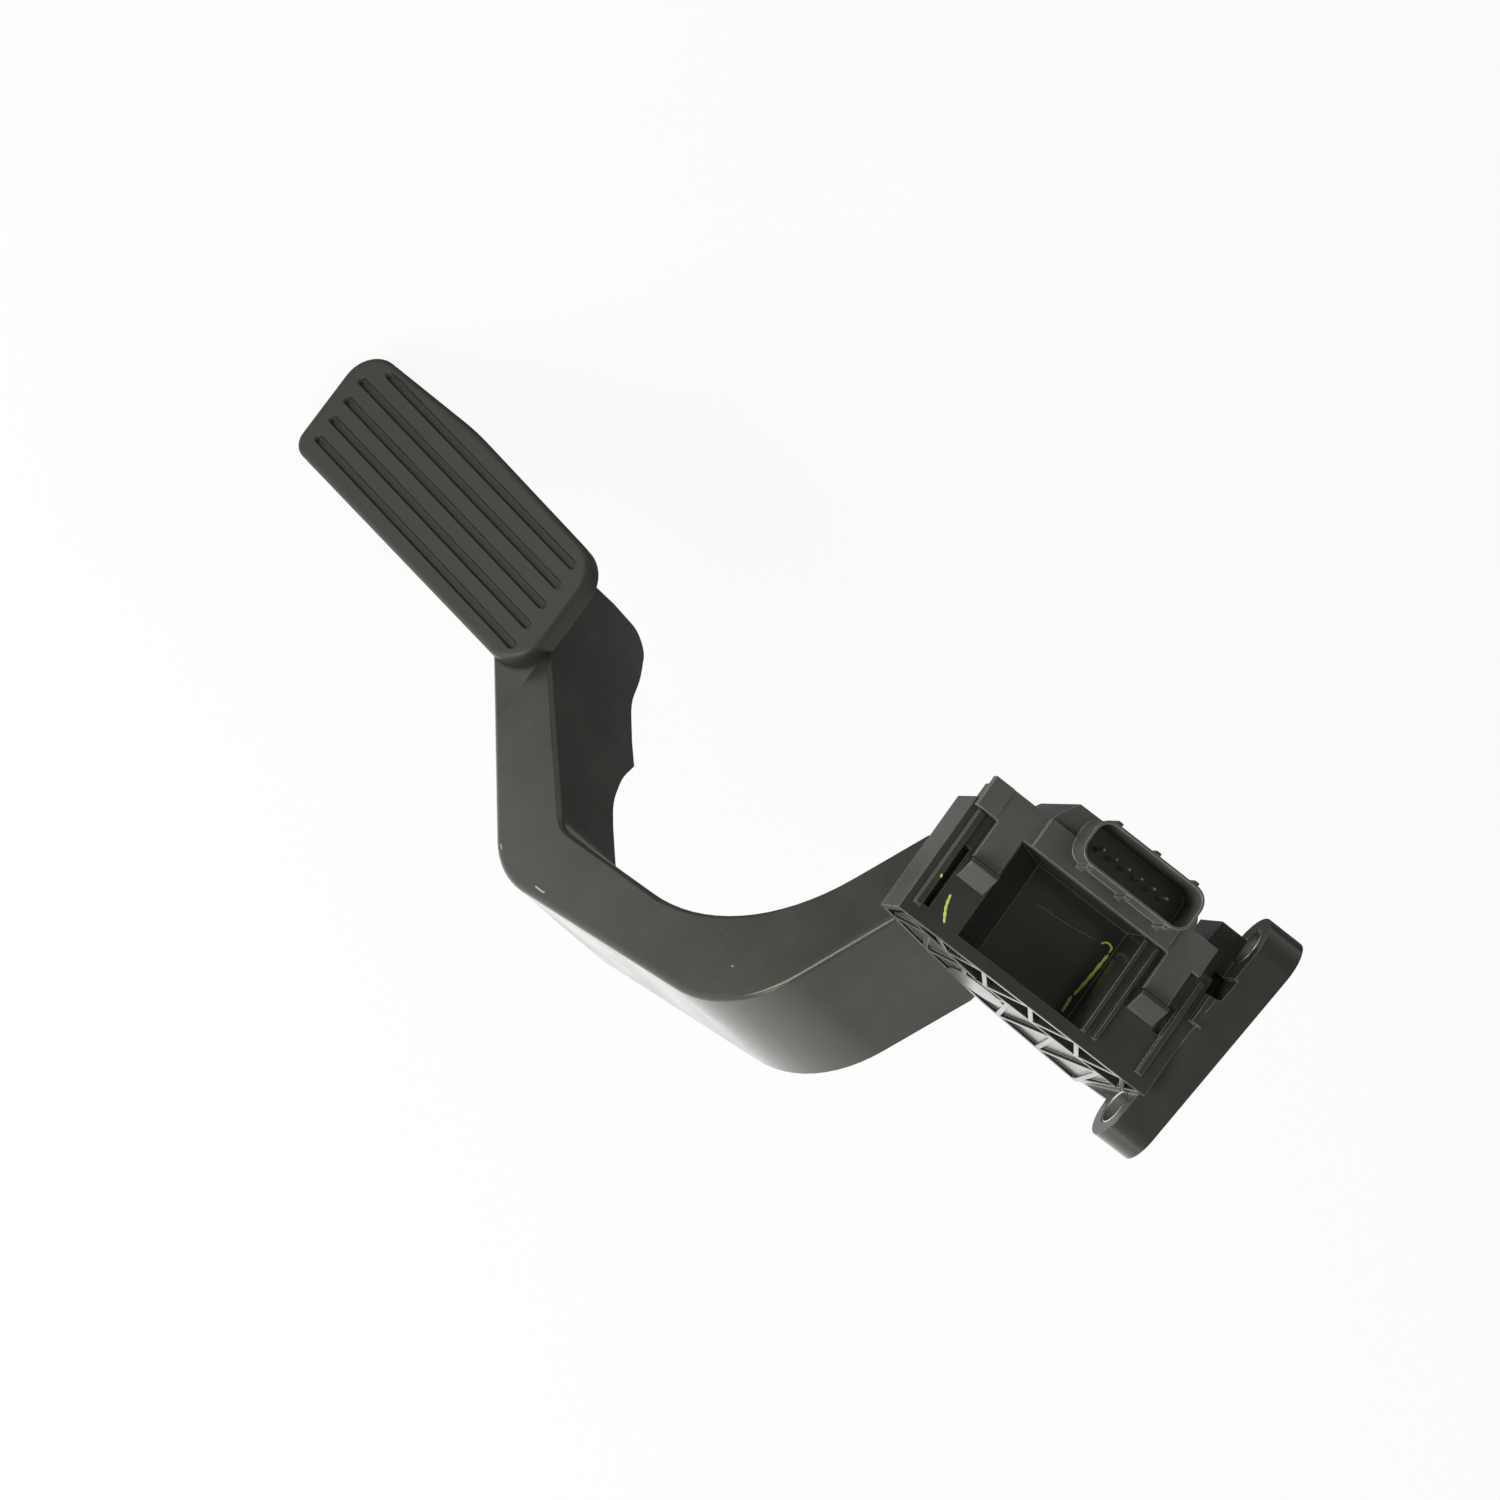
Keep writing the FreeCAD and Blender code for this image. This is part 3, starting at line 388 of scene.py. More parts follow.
@dataclass(frozen=True)
class Socket:
    """A round-cornered opening whose wall is thinned, by moving its inner side outwards."""

    middle: tuple[float, float] = (-20.2, -45.9)
    half: tuple[float, float] = (4.55, 15.3)
    radius: float = 2.9
    floor: float = 7.0
    outward: float = 0.75
    slack: float = 0.05

    def widen(self, mesh: bpy.types.Mesh) -> None:
        """Move the points of the inner side along the outline's normals.

        Args:
            mesh: the piece's mesh, in metres.
        """
        points = np.empty(3 * len(mesh.vertices))
        mesh.vertices.foreach_get("co", points)
        points = points.reshape(-1, 3) / MM
        away = points[:, :2] - np.array(self.middle)
        reach = np.array(self.half) - self.radius
        spoke = away - np.clip(away, -reach, reach)
        near = np.abs(np.linalg.norm(spoke, axis=1) - self.radius) < self.slack
        side = near & (points[:, 2] > self.floor - self.slack)
        points[side, :2] += spoke[side] * (self.outward / self.radius)
        mesh.vertices.foreach_set("co", (points * MM).ravel())
        mesh.update()
        LOG.info("%d points of the socket moved", np.count_nonzero(side))


@dataclass
class Moulding:
    """A moulded piece: the CAD solid, with the sharp edges above a height rounded as a mould leaves them.

    A clamped bevel stops where its mesh gets too tight, so it may round its edges very little.
    """

    node: str
    body: Body
    slot: str
    edge: float
    flat: float = 0.6
    crease: float = 28.0
    steps: int = 2
    clamp: bool = True
    above: float = -math.inf
    socket: Socket | None = None

    def mesh(self) -> bpy.types.Mesh:
        """Copy the node's mesh, merge its corners and join the triangles of each flat face.

        Returns:
            The new mesh in metres, with its edges marked for shading and for the bevel.
        """
        work = bmesh.new()
        work.from_mesh(frame["nodes"][self.node].data)
        bmesh.ops.remove_doubles(work, verts=work.verts, dist=MERGE_DISTANCE)
        flat = math.radians(self.flat)
        bmesh.ops.dissolve_limit(work, angle_limit=flat, verts=work.verts, edges=work.edges)
        self.mark_edges(work)
        mesh = bpy.data.meshes.new(f"{self.node}_moulded")
        work.to_mesh(mesh)
        work.free()
        if self.socket:
            self.socket.widen(mesh)
        mesh.polygons.foreach_set("use_smooth", np.ones(len(mesh.polygons), dtype=bool))
        return mesh

    def mark_edges(self, work: bmesh.types.BMesh) -> None:
        """Mark the edges that stay sharp in shading, and those of them that the bevel rounds.

        Args:
            work: the piece's merged mesh.
        """
        work.normal_update()
        weight = work.edges.layers.float.new("bevel_weight_edge")
        for edge in work.edges:
            sharp = edge.is_manifold and edge.calc_face_angle() > math.radians(self.crease)
            high = min(end.co.z for end in edge.verts) > self.above * MM
            edge.smooth = not sharp
            edge[weight] = float(sharp and high)

    def build(self, wardrobe: Wardrobe) -> None:
        """Make the piece, and round its marked edges with a bevel whose faces take the paler finish, a
        painted highlight.

        Args:
            wardrobe: the materials.
        """
        piece = linked(f"{self.node}_moulded", self.mesh())
        round_edge = piece.modifiers.new("mould_radius", "BEVEL")
        round_edge.width = self.edge * MM
        round_edge.segments = self.steps
        round_edge.limit_method = "WEIGHT"
        round_edge.use_clamp_overlap = self.clamp
        # The bevel's faces get the paler edge finish: a painted highlight along every rounded edge.
        round_edge.material = 1
        even = piece.modifiers.new("even_shading", "WEIGHTED_NORMAL")
        even.keep_sharp = True
        place(piece, self.body, self.slot, wardrobe, self.node)
        piece.data.materials.append(wardrobe.materials[f"{self.slot}_edge"])


def rounded_outline(points: np.ndarray, radii: np.ndarray, steps: int) -> tuple[np.ndarray, np.ndarray]:
    """A closed outline with an arc at each corner.

    Each corner's arc touches both sides; its points turn evenly about the arc's centre.

    Args:
        points: corners in order, either way round.
        radii: one radius for each corner.
        steps: points on each arc.

    Returns:
        The points and their inward unit normals.
    """
    back = np.roll(points, 1, axis=0) - points
    ahead = np.roll(points, -1, axis=0) - points
    back /= np.linalg.norm(back, axis=1, keepdims=True)
    ahead /= np.linalg.norm(ahead, axis=1, keepdims=True)
    middle = back + ahead
    middle /= np.linalg.norm(middle, axis=1, keepdims=True)
    half = np.arccos(np.clip(np.sum(back * middle, axis=1), -1.0, 1.0))
    centre = points + middle * (radii / np.sin(half))[:, None]
    first = points + back * (radii / np.tan(half))[:, None] - centre
    turn = np.sign(back[:, 0] * ahead[:, 1] - back[:, 1] * ahead[:, 0]) * -1.0
    angle = (turn * (math.pi - 2.0 * half))[:, None] * np.linspace(0.0, 1.0, steps)[None, :]
    cos, sin = np.cos(angle), np.sin(angle)
    x = first[:, :1] * cos - first[:, 1:] * sin
    y = first[:, :1] * sin + first[:, 1:] * cos
    spokes = np.stack([x, y], axis=-1)
    outline = (centre[:, None, :] + spokes).reshape(-1, 2)
    normals = (-spokes / radii[:, None, None]).reshape(-1, 2)
    return outline, normals


@dataclass
class GroovedPad:
    """The rubber pad: a rim carried round its outline and a face with long round-ended grooves."""

    outline: list[tuple[float, float]] = field(
        default_factory=lambda: [(6.6, -7.5), (-19.5, 110.0), (-57.6, 110.0), (-50.4, 58.0), (-34.0, -7.5)])
    radii: list[float] = field(default_factory=lambda: [12.0, 6.0, 10.0, 120.0, 13.0])
    thickness: float = 5.5
    skirt: float = 1.5
    lap: float = 1.6
    edge: float = 1.9
    rim: float = 2.4
    grooves: int = 5
    root: tuple[float, float] = (-1.3, 0.5)
    tip: tuple[float, float] = (-25.1, 102.6)
    root_pitch: float = 7.1
    tip_pitch: float = 7.2
    last_share: float = 0.93
    groove_width: float = 2.4
    groove_depth: float = 1.7
    groove_soft: float = 0.55
    columns: int = 330
    rows: int = 150
    corner_steps: int = 14
    edge_steps: int = 7
    heel: tuple[tuple[float, float], ...] = ((0.35, 0.0), (0.1, 0.1), (0.0, 0.4))

    def rim_patch(self, points: np.ndarray, normals: np.ndarray) -> tuple[np.ndarray, np.ndarray]:
        """The rim: a profile of inset and depth, carried round the outline.

        The profile runs from the plate's edge under the pad, round the skirt, up the side and over a
        quarter circle on to the face.

        Args:
            points: the pad's outline.
            normals: its inward normals.

        Returns:
            The grid of points and its quads.
        """
        bend = np.linspace(0.0, 0.5 * math.pi, self.edge_steps)
        deep = self.thickness + self.skirt
        foot = [(self.lap, self.thickness), (self.lap, deep)]
        foot += [(inset, deep - rise) for inset, rise in self.heel]
        top = np.stack([self.edge * (1.0 - np.cos(bend)), self.edge * (1.0 - np.sin(bend))], axis=-1)
        profile = np.vstack([np.array(foot), top, [(self.rim, 0.0)]])
        inward, depth = profile[:, :1], profile[:, 1:]
        x = points[None, :, 0] + inward * normals[None, :, 0]
        down = points[None, :, 1] + inward * normals[None, :, 1]
        return PAD_PLANE.row(x, down, depth), sheet_quads(len(profile), len(points), wrap_columns=True)

    def groove_depths(self, x: np.ndarray, down: np.ndarray) -> np.ndarray:
        """Depth of the face: a soft step of the distance to the nearest groove's middle line.

        Args:
            x: places across the pad.
            down: places down the pad.

        Returns:
            The depth at each place.
        """
        i = np.arange(self.grooves)
        start = np.stack([self.root[0] - i * self.root_pitch, np.full(self.grooves, self.root[1])], axis=-1)
        end = np.stack([self.tip[0] - i * self.tip_pitch, np.full(self.grooves, self.tip[1])], axis=-1)
        end[-1] = start[-1] + (end[-1] - start[-1]) * self.last_share
        run = end - start
        away = np.stack([x, down], axis=-1)[..., None, :] - start
        share = np.clip(np.sum(away * run, axis=-1) / np.sum(run * run, axis=-1), 0.0, 1.0)
        near = np.min(np.linalg.norm(away - share[..., None] * run, axis=-1), axis=-1)
        step = np.clip((0.5 * self.groove_width + 0.5 * self.groove_soft - near) / self.groove_soft, 0.0, 1.0)
        return self.groove_depth * step * step * (3.0 - 2.0 * step)

    def face_patch(self, points: np.ndarray, normals: np.ndarray) -> tuple[np.ndarray, np.ndarray]:
        """The face: a grid between the two long sides of the inset outline, sunk by the grooves.

        Args:
            points: the pad's outline.
            normals: its inward normals.

        Returns:
            The grid of points and its quads.
        """
        inner = points + normals * self.rim
        order = np.roll(np.arange(len(inner)), -int(np.argmin(inner[:, 1])))
        inner = inner[order]
        peak = int(np.argmax(inner[:, 1]))
        one, other = inner[: peak + 1], inner[peak:][::-1]
        sweep = 0.5 - 0.5 * np.cos(np.linspace(0.0, math.pi, self.rows))
        down = inner[:, 1].min() + np.ptp(inner[:, 1]) * sweep
        sides = [np.interp(down, np.maximum.accumulate(chain[:, 1]), chain[:, 0]) for chain in (one, other)]
        across = np.linspace(0.0, 1.0, self.columns)
        x = sides[0][:, None] * (1.0 - across) + sides[1][:, None] * across
        down = np.repeat(down[:, None], self.columns, axis=1)
        return PAD_PLANE.row(x, down, self.groove_depths(x, down)), sheet_quads(self.rows, self.columns)

    def build(self, wardrobe: Wardrobe) -> None:
        """Make the pad.

        Args:
            wardrobe: the materials.
        """
        points, normals = rounded_outline(np.array(self.outline), np.array(self.radii), self.corner_steps)
        patches = [self.rim_patch(points, normals), self.face_patch(points, normals)]
        piece = piece_from("pad_rubber_face", patches)
        place(piece, Body.PEDAL, "pad_rubber", wardrobe, "pedal_pad")


@dataclass
class PlugPins:
    """The row of slim pins in the plug socket, with rounded corners and small flat tips."""

    x: float = -20.4
    y: float = -45.9
    pitch: float = 4.0
    count: int = 6
    width: float = 0.8
    low: float = -3.0
    high: float = 13.0
    point: float = 0.5
    blunt: float = 0.55
    closed: float = 0.01
    roundness: float = 0.25
    sides: int = 24

    def pin_patch(self, y: float) -> tuple[np.ndarray, np.ndarray]:
        """One pin: a rounded square carried up the pin, drawn in below its flat tip.

        The section is a circle with its sides pushed out towards a square.

        Args:
            y: place of the pin.

        Returns:
            The grid of points and its quads.
        """
        angle = np.linspace(0.0, 2.0 * math.pi, self.sides, endpoint=False)
        square = np.maximum(np.abs(np.cos(angle)), np.abs(np.sin(angle)))
        reach = 0.5 * self.width / (self.roundness + (1.0 - self.roundness) * square)
        z = np.array([self.low, self.high - self.point, self.high, self.high])
        shrink = np.array([1.0, 1.0, self.blunt, self.closed])
        grid = np.stack([
            self.x + shrink[:, None] * reach * np.cos(angle),
            y + shrink[:, None] * reach * np.sin(angle),
            np.repeat(z[:, None], len(angle), axis=1),
        ], axis=-1)
        return grid, sheet_quads(len(z), len(angle), wrap_columns=True)

    def build(self, wardrobe: Wardrobe) -> None:
        """Make the pins.

        Args:
            wardrobe: the materials.
        """
        for i in range(self.count):
            y = self.y + self.pitch * (i - 0.5 * (self.count - 1))
            piece = piece_from(f"plug_pin_{i + 1}", [self.pin_patch(y)])
            piece.data.set_sharp_from_angle(angle=SHARP_ANGLE)
            place(piece, Body.BASE, "terminal_tin", wardrobe, f"terminal_{i + 1}")


@dataclass
class BoltSleeve:
    """A steel sleeve in one ear of the flange, with chamfered ends."""

    side: str
    x: float
    z: float
    bore: float = 4.25
    outer: float = 5.0
    length: float = 10.5
    chamfer: float = 0.3
    sides: int = 96

    def build(self, wardrobe: Wardrobe) -> None:
        """Make the sleeve: a chamfered wall section turned about the bolt's axis.

        Args:
            wardrobe: the materials.
        """
        c, end = self.chamfer, -self.length
        wall = np.array([
            (self.bore + c, 0.0), (self.outer - c, 0.0), (self.outer, -c), (self.outer, end + c),
            (self.outer - c, end), (self.bore + c, end), (self.bore, end + c), (self.bore, -c),
        ])
        angle = np.linspace(0.0, 2.0 * math.pi, self.sides, endpoint=False)
        grid = np.stack([
            self.x + wall[:, :1] * np.cos(angle),
            np.repeat(wall[:, 1:], len(angle), axis=1),
            self.z + wall[:, :1] * np.sin(angle),
        ], axis=-1)
        piece = piece_from(f"sleeve_{self.side}", [(grid, sheet_quads(len(wall), len(angle), True, True))])
        piece.data.set_sharp_from_angle(angle=SHARP_ANGLE)
        place(piece, Body.BASE, "sleeve_steel", wardrobe, f"bolt_sleeve_{self.side}")


@dataclass
class ReturnSpring:
    """A round-wire return spring with closed end turns."""

    node: str
    radius: float
    wire: float
    turns: float
    x: float = 2.75
    y: float = -22.3
    low: float = -21.5
    high: float = 2.6
    kept: float = 0.53
    turn_steps: int = 40
    sides: int = 14
    closed_turns: float = 0.6
    closed_pitch: float = 0.12

    def build(self, wardrobe: Wardrobe) -> None:
        """Make the spring: a circle carried along a helix whose pitch eases to nothing at both ends.

        Args:
            wardrobe: the materials.
        """
        share = np.linspace(0.0, 1.0, int(self.turns * self.turn_steps) + 1)
        ease = self.closed_turns / self.turns
        rate = np.clip(np.minimum(share, 1.0 - share) / ease, self.closed_pitch, 1.0)
        climb = np.concatenate([[0.0], np.cumsum(0.5 * (rate[1:] + rate[:-1]))])
        climb /= climb[-1]
        angle = 2.0 * math.pi * self.turns * share
        out = np.stack([np.cos(angle), np.sin(angle), np.zeros_like(angle)], axis=-1)
        z = self.low + 0.5 * self.wire + (self.high - self.low - self.wire) * climb
        path = np.array([self.x, self.y, 0.0]) + self.radius * out
        path[:, 2] = z
        turn = np.linspace(0.0, 2.0 * math.pi, self.sides, endpoint=False)
        up = np.array([0.0, 0.0, 1.0])
        section = np.cos(turn)[None, :, None] * out[:, None, :] + np.sin(turn)[None, :, None] * up
        grid = path[:, None, :] + 0.5 * self.wire * section
        quads = sheet_quads(len(share), len(turn), wrap_columns=True)
        piece = piece_from(f"{self.node}_wire", [(grid, quads)])
        place(piece, Body.BASE, "spring_steel", wardrobe, self.node)
        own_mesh(piece)


@dataclass
class Stroke:
    """A thin raised stroke on a flat face: a stripe of paint, a scrape or a witness line of the mould."""

    name: str
    body: Body
    slot: str
    line: list[tuple[float, float, float]]
    face: tuple[float, float, float]
    width: float
    height: float
    steps: int = 60
    columns: int = 7
    end_power: int = 6
    arch_power: int = 4
    waver: float = 0.18
    waver_rate: float = 29.0

    def build(self, wardrobe: Wardrobe) -> None:
        """Make the stroke: a low arch carried along a smooth line, drawn in at both ends.

        The line passes through its points by a cubic in each stretch; the width wavers a little.

        Args:
            wardrobe: the materials.
        """
        points = np.array(self.line)
        knots = np.concatenate([[0.0], np.cumsum(np.linalg.norm(np.diff(points, axis=0), axis=1))])
        share = np.linspace(0.0, knots[-1], self.steps)
        slopes = np.gradient(points, knots, axis=0)
        k = np.clip(np.searchsorted(knots, share, side="right") - 1, 0, len(knots) - 2)
        span = (knots[k + 1] - knots[k])[:, None]
        t = (share - knots[k])[:, None] / span
        path = ((2 * t**3 - 3 * t**2 + 1) * points[k] + (t**3 - 2 * t**2 + t) * span * slopes[k]
                + (3 * t**2 - 2 * t**3) * points[k + 1] + (t**3 - t**2) * span * slopes[k + 1])
        along = np.gradient(path, axis=0)
        along /= np.linalg.norm(along, axis=1, keepdims=True)
        lift = np.array(self.face) / np.linalg.norm(self.face)
        aside = np.cross(lift, along)
        u = share / knots[-1]
        taper = np.sqrt(np.clip(1.0 - np.abs(2.0 * u - 1.0) ** self.end_power, 0.0, 1.0))
        taper = taper * (1.0 + self.waver * np.sin(self.waver_rate * u))
        across = np.linspace(-1.0, 1.0, self.columns)
        spread = 0.5 * self.width * taper[:, None] * across
        rise = self.height * (1.0 - across**self.arch_power)[None, :] * np.minimum(taper, 1.0)[:, None]
        grid = path[:, None, :] + spread[..., None] * aside[:, None, :] + rise[..., None] * lift
        piece = piece_from(self.name, [(grid, sheet_quads(self.steps, len(across)))])
        place(piece, self.body, self.slot, wardrobe)


@dataclass(frozen=True)
class SoftBox:
    """A round soft lamp that points at the middle of the part."""

    name: str
    at: tuple[float, float, float]
    size: float
    energy: float
    aim: tuple[float, float, float] = (0.0, -0.12, -0.1)

    def build(self) -> None:
        """Make the lamp."""
        lamp = bpy.data.lights.new(self.name, "AREA")
        lamp.shape = "DISK"
        lamp.size = self.size
        lamp.energy = self.energy
        box = bpy.data.objects.new(self.name, lamp)
        box.location = self.at
        box.rotation_euler = (Vector(self.aim) - Vector(self.at)).to_track_quat("-Z", "Y").to_euler()
        bpy.context.scene.collection.objects.link(box)


@dataclass
class Studio:
    """White floor and surroundings, soft light and the photograph's camera."""

    eye: tuple[float, float, float] = (0.16619327, -0.335838222, 0.982617706)
    azimuth: float = 38.10325
    elevation: float = 75.65038
    roll: float = 88.70478
    angle: float = 20.0
    fill_span: tuple[float, float] = (0.0, 0.95)
    fill: tuple[float, float] = (0.7, 0.2)
    sky_span: tuple[float, float] = (0.1, 0.9)
    sky_mirror: tuple[float, float] = (1.1, 0.4)
    floor_span: tuple[float, float] = (-0.10, 0.06)
    floor_mirror: tuple[float, float] = (0.08, 1.9)
    floor_glow: float = 0.9
    boxes: tuple[SoftBox, ...] = (
        SoftBox("key_box", (0.85, -0.6, 0.5), 0.7, 13.0),
        SoftBox("side_strip", (1.05, 0.12, 0.18), 0.3, 2.5),
        SoftBox("rear_strip", (-0.18, -1.2, 0.28), 0.3, 3.0),
        SoftBox("front_strip", (0.1, 1.0, 0.7), 0.5, 2.0),
    )
    clearance: float = 0.8
    floor_reach: float = 1900.0
    floor_points: int = 9
    floor_tone: float = 0.86
    floor_roughness: float = 0.9
    floor_specular: float = 0.1

    def camera(self) -> None:
        """Put the camera where the photograph was taken from, rolled about its own axis."""
        a, e, r = math.radians(self.azimuth), math.radians(self.elevation), math.radians(self.roll)
        back = Vector((math.sin(a) * math.cos(e), -math.cos(a) * math.cos(e), math.sin(e)))
        right = Vector((0.0, 0.0, 1.0)).cross(back).normalized()
        up = back.cross(right)
        rolled = (math.cos(r) * right + math.sin(r) * up, math.cos(r) * up - math.sin(r) * right, back)
        pose = Matrix(rolled).transposed().to_4x4()
        pose.translation = Vector(self.eye)
        camera = bpy.data.objects.new("camera", bpy.data.cameras.new("camera"))
        camera.data.angle = math.radians(self.angle)
        camera.matrix_world = pose
        bpy.context.scene.collection.objects.link(camera)
        bpy.context.scene.camera = camera

    @staticmethod
    def ramp(sheet: NodeSheet, source: bpy.types.NodeSocket, span: tuple[float, float],
             values: tuple[float, float]) -> bpy.types.NodeSocket:
        """A smooth change from one value to another over a span of the source.

        Args:
            sheet: the node tree to add the node to.
            source: the output that drives the change.
            span: where the change starts and ends.
            values: the values before and after it.

        Returns:
            The output that holds the value.
        """
        node = sheet.add("ShaderNodeMapRange", interpolation_type="SMOOTHSTEP")
        node.inputs["From Min"].default_value, node.inputs["From Max"].default_value = span
        node.inputs["To Min"].default_value, node.inputs["To Max"].default_value = values
        sheet.link(source, node.inputs["Value"])
        return node.outputs["Result"]

    @staticmethod
    def by_ray(sheet: NodeSheet, plain: bpy.types.NodeSocket,
               mirror: bpy.types.NodeSocket) -> bpy.types.NodeSocket:
        """One value for light, another for mirror rays, and 1 for camera and see-through rays.

        Args:
            sheet: the node tree to add the nodes to.
            plain: the output that holds the value for all other rays.
            mirror: the output that holds the value for mirror rays.

        Returns:
            The output that holds the value.
        """
        path = sheet.add("ShaderNodeLightPath")
        glossy = sheet.add("ShaderNodeMapRange")
        sheet.link(plain, glossy.inputs["To Min"])
        sheet.link(mirror, glossy.inputs["To Max"])
        sheet.link(path.outputs["Is Glossy Ray"], glossy.inputs["Value"])
        direct = sheet.add("ShaderNodeMath", operation="MAXIMUM")
        sheet.link(path.outputs["Is Camera Ray"], direct.inputs[0])
        sheet.link(path.outputs["Is Transmission Ray"], direct.inputs[1])
        value = sheet.add("ShaderNodeMapRange")
        value.inputs["To Max"].default_value = 1.0
        sheet.link(direct.outputs[0], value.inputs["Value"])
        sheet.link(glossy.outputs["Result"], value.inputs["To Min"])
        return value.outputs["Result"]

    def world(self) -> None:
        """A world that looks white, lights softly from the sides and darkens overhead."""
        world = bpy.data.worlds.new("studio_white")
        bpy.context.scene.world = world
        world.use_nodes = True
        sheet = NodeSheet(world.node_tree)
        background = world.node_tree.nodes["Background"]
        background.inputs["Color"].default_value = (1.0, 1.0, 1.0, 1.0)
        height = sheet.add("ShaderNodeSeparateXYZ")
        sheet.link(sheet.add("ShaderNodeTexCoord").outputs["Generated"], height.inputs[0])
        plain = self.ramp(sheet, height.outputs["Z"], self.fill_span, self.fill)
        mirror = self.ramp(sheet, height.outputs["Z"], self.sky_span, self.sky_mirror)
        sheet.link(self.by_ray(sheet, plain, mirror), background.inputs["Strength"])

    def floor(self) -> None:
        """A pale floor just under the pad, mostly white to the camera, with the shadow kept."""
        low = CAD_BOX[0][2] - self.clearance * MM
        count = self.floor_points
        u = np.linspace(-self.floor_reach, self.floor_reach, count)
        grid = np.stack([*np.meshgrid(u, u), np.full((count, count), low / MM)], axis=-1)
        floor = piece_from("studio_floor", [(grid, sheet_quads(count, count))])
        material = bpy.data.materials.new("studio_floor")
        material.use_nodes = True
        sheet = NodeSheet(material.node_tree)
        shader = material.node_tree.nodes["Principled BSDF"]
        shader.inputs["Base Color"].default_value = (*[self.floor_tone] * 3, 1.0)
        shader.inputs["Roughness"].default_value = self.floor_roughness
        shader.inputs["Specular IOR Level"].default_value = self.floor_specular
        across = sheet.add("ShaderNodeSeparateXYZ")
        sheet.link(sheet.add("ShaderNodeTexCoord").outputs["Object"], across.inputs[0])
        mirror = self.ramp(sheet, across.outputs["X"], self.floor_span, self.floor_mirror)
        glow = sheet.add("ShaderNodeEmission")
        sheet.link(self.by_ray(sheet, mirror, mirror), glow.inputs["Strength"])
        path = sheet.add("ShaderNodeLightPath")
        share = sheet.add("ShaderNodeMapRange")
        share.inputs["To Min"].default_value = self.floor_glow
        share.inputs["To Max"].default_value = 0.0
        sheet.link(path.outputs["Is Diffuse Ray"], share.inputs["Value"])
        mix = sheet.add("ShaderNodeMixShader")
        sheet.link(share.outputs[0], mix.inputs["Fac"])
        sheet.link(shader.outputs[0], mix.inputs[1])
        sheet.link(glow.outputs[0], mix.inputs[2])
        sheet.link(mix.outputs[0], material.node_tree.nodes["Material Output"].inputs["Surface"])
        floor.data.materials.append(material)

    def build(self) -> None:
        """Set up the studio."""
        self.camera()
        self.world()
        self.floor()
        for box in self.boxes:
            box.build()
        bpy.context.scene.view_settings.view_transform = "Standard"


def arm_line(points: list[tuple[float, float]]) -> list[tuple[float, float, float]]:
    """Points of the arm's front face, given across and down it."""
    flat = np.array(points)
    return [tuple(p) for p in ARM_PLANE.row(flat[:, 0], flat[:, 1], np.zeros(len(flat)))]


FLOOR_Z = -5.48
ROOF_Z = 8.02
RAIL_Z = 9.42
ARM_FACE = (0.0, -math.cos(math.radians(ARM_PLANE.lean)), math.sin(math.radians(ARM_PLANE.lean)))
UP = (0.0, 0.0, 1.0)

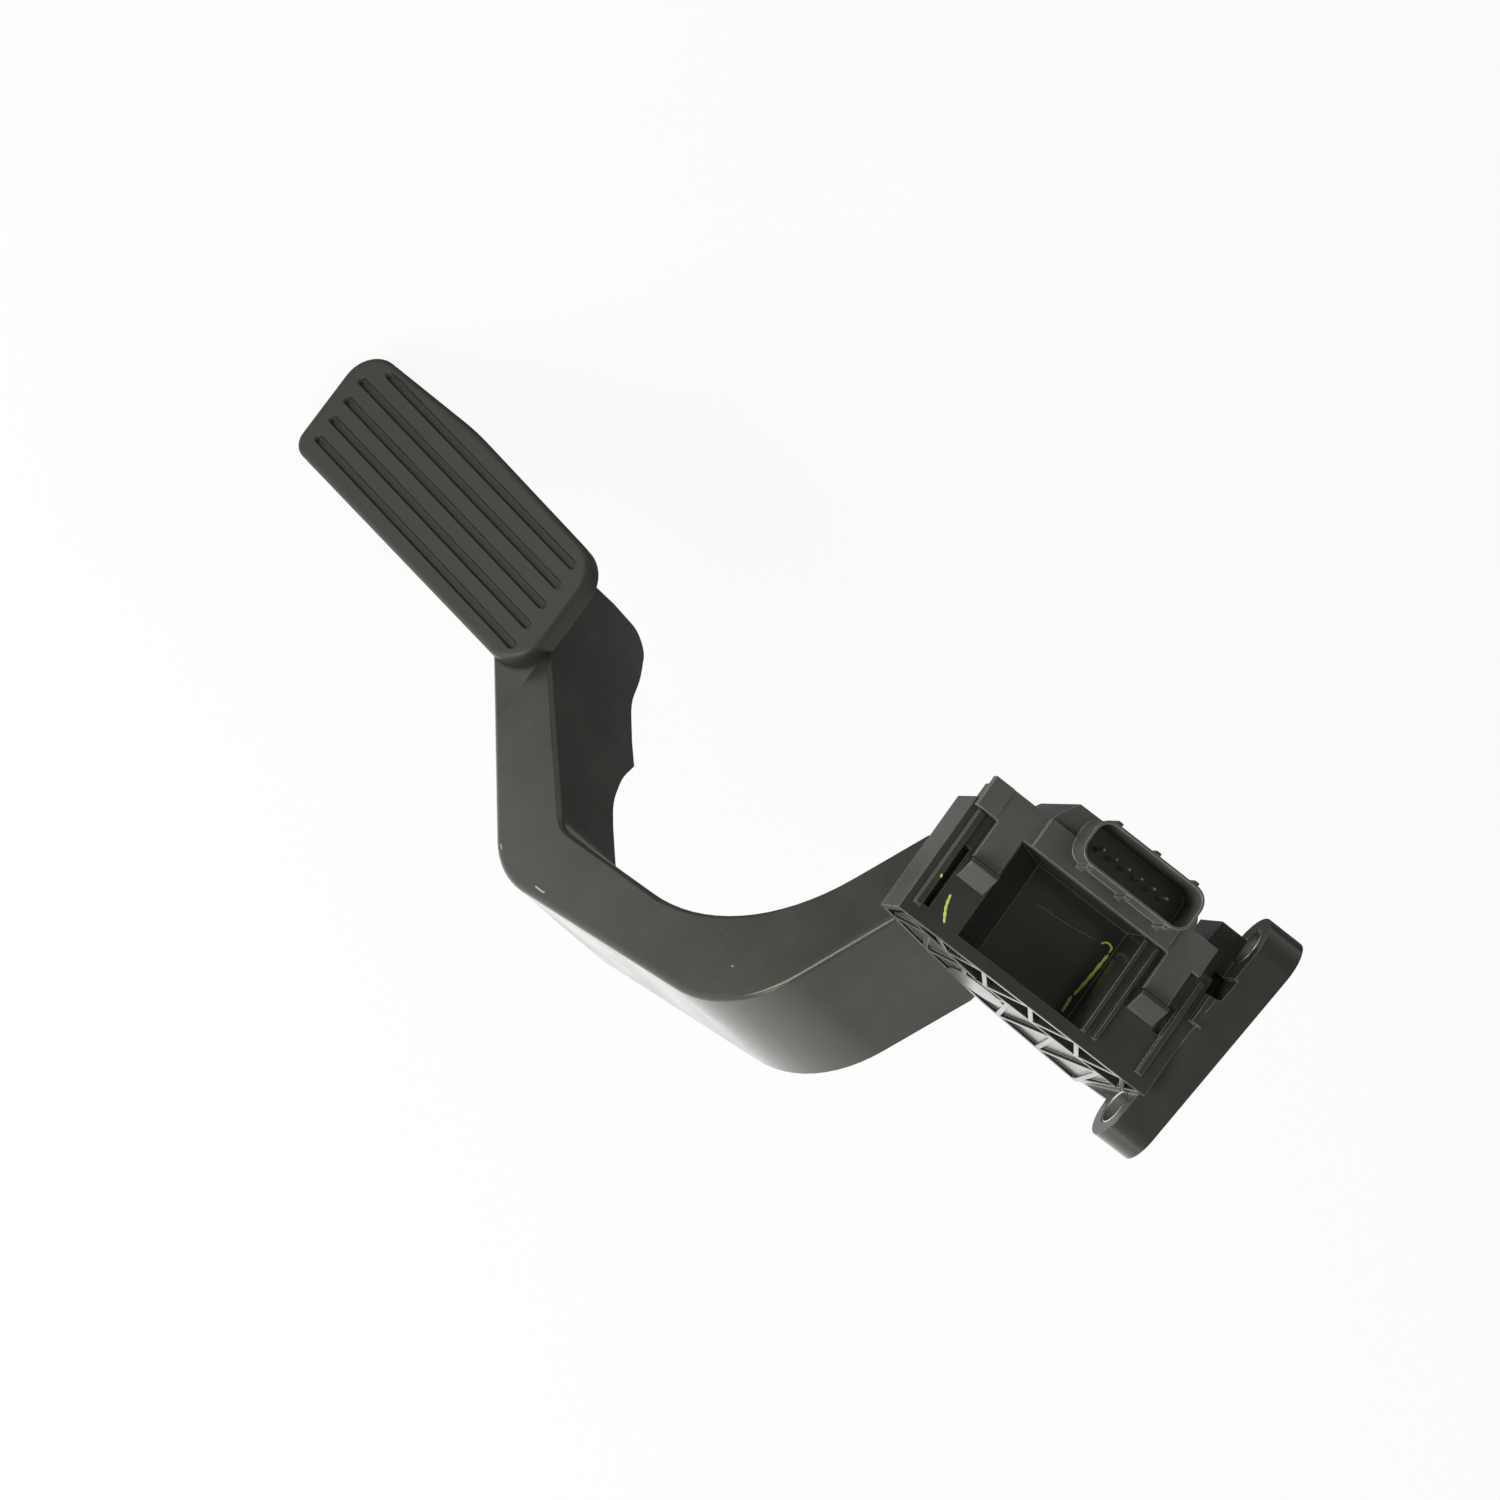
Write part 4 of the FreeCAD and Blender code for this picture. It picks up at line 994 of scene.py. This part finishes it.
MOULDINGS = [
    Moulding("housing", Body.BASE, "housing_plastic", 0.2, clamp=False),
    Moulding("sensor_cover", Body.BASE, "cover_plastic", 0.2, clamp=False, above=6.0, socket=Socket()),
    Moulding("pedal_arm", Body.PEDAL, "arm_plastic", 0.5),
]
STROKES = [
    Stroke("paint_recess_foot", Body.BASE, PAINT.slot,
           [(14.3, -35.7, FLOOR_Z), (12.0, -35.8, FLOOR_Z), (9.7, -36.0, FLOOR_Z)], UP, 0.75, 0.05),
    Stroke("paint_recess", Body.BASE, PAINT.slot,
           [(9.3, -35.7, FLOOR_Z), (5.5, -35.2, FLOOR_Z), (-4.1, -34.4, FLOOR_Z)], UP, 0.85, 0.05),
    Stroke("paint_recess_hook", Body.BASE, PAINT.slot,
           [(-4.4, -34.5, FLOOR_Z), (-5.8, -34.7, FLOOR_Z), (-6.2, -36.2, FLOOR_Z), (-5.1, -37.6, FLOOR_Z)],
           UP, 0.5, 0.05),
    Stroke("paint_roof", Body.BASE, PAINT.slot,
           [(10.2, -79.3, ROOF_Z), (12.9, -78.6, ROOF_Z), (16.8, -76.5, ROOF_Z)], UP, 0.7, 0.05),
    Stroke("paint_dot", Body.BASE, PAINT.slot,
           [(7.9, -84.4, RAIL_Z), (8.3, -84.2, RAIL_Z), (8.7, -84.1, RAIL_Z)], UP, 0.5, 0.05),
    Stroke("recess_line", Body.BASE, "cover_plastic",
           [(-3.1, -57.3, FLOOR_Z), (-3.9, -46.7, FLOOR_Z), (-5.2, -38.2, FLOOR_Z)], UP, 0.5, 0.12),
    Stroke("witness_line", Body.PEDAL, "arm_plastic", arm_line([(36.0, 152.0), (30.5, 144.0), (26.2, 137.5)]),
           ARM_FACE, 0.45, 0.12),
    Stroke("scrape_bend", Body.PEDAL, SCRAPE.slot, arm_line([(54.2, 115.6), (54.5, 113.0), (54.6, 110.6)]),
           ARM_FACE, 0.45, 0.03),
    Stroke("scrape_shank", Body.PEDAL, SCRAPE.slot, arm_line([(48.6, 138.4), (50.0, 136.4)]),
           ARM_FACE, 0.35, 0.04),
    Stroke("scrape_bow", Body.PEDAL, SCRAPE.slot, arm_line([(47.4, 32.9), (47.6, 31.9)]),
           ARM_FACE, 0.3, 0.03),
]


def dress_nodes(wardrobe: Wardrobe) -> None:
    """Give each CAD node that still shows the finish of its slot in the record.

    Args:
        wardrobe: the materials.
    """
    for part in frame["record"]["subparts"]:
        wardrobe.dress(frame["nodes"][part["node"]], part["material_slot"])


def main() -> None:
    """Dress the part and set up the studio."""
    logging.basicConfig(level=logging.INFO, format="%(name)s: %(message)s")
    wardrobe = Wardrobe()
    dress_nodes(wardrobe)
    pieces = [
        *MOULDINGS,
        GroovedPad(),
        PlugPins(),
        BoltSleeve("right", 24.5, -7.0),
        BoltSleeve("left", -24.5, 7.0),
        ReturnSpring("outer_spring", 6.2, 1.9, 4.0),
        ReturnSpring("inner_spring", 3.8, 1.2, 5.0),
        *STROKES,
    ]
    for piece in pieces:
        piece.build(wardrobe)
    Studio().build()


if __name__ == "__main__":
    main()
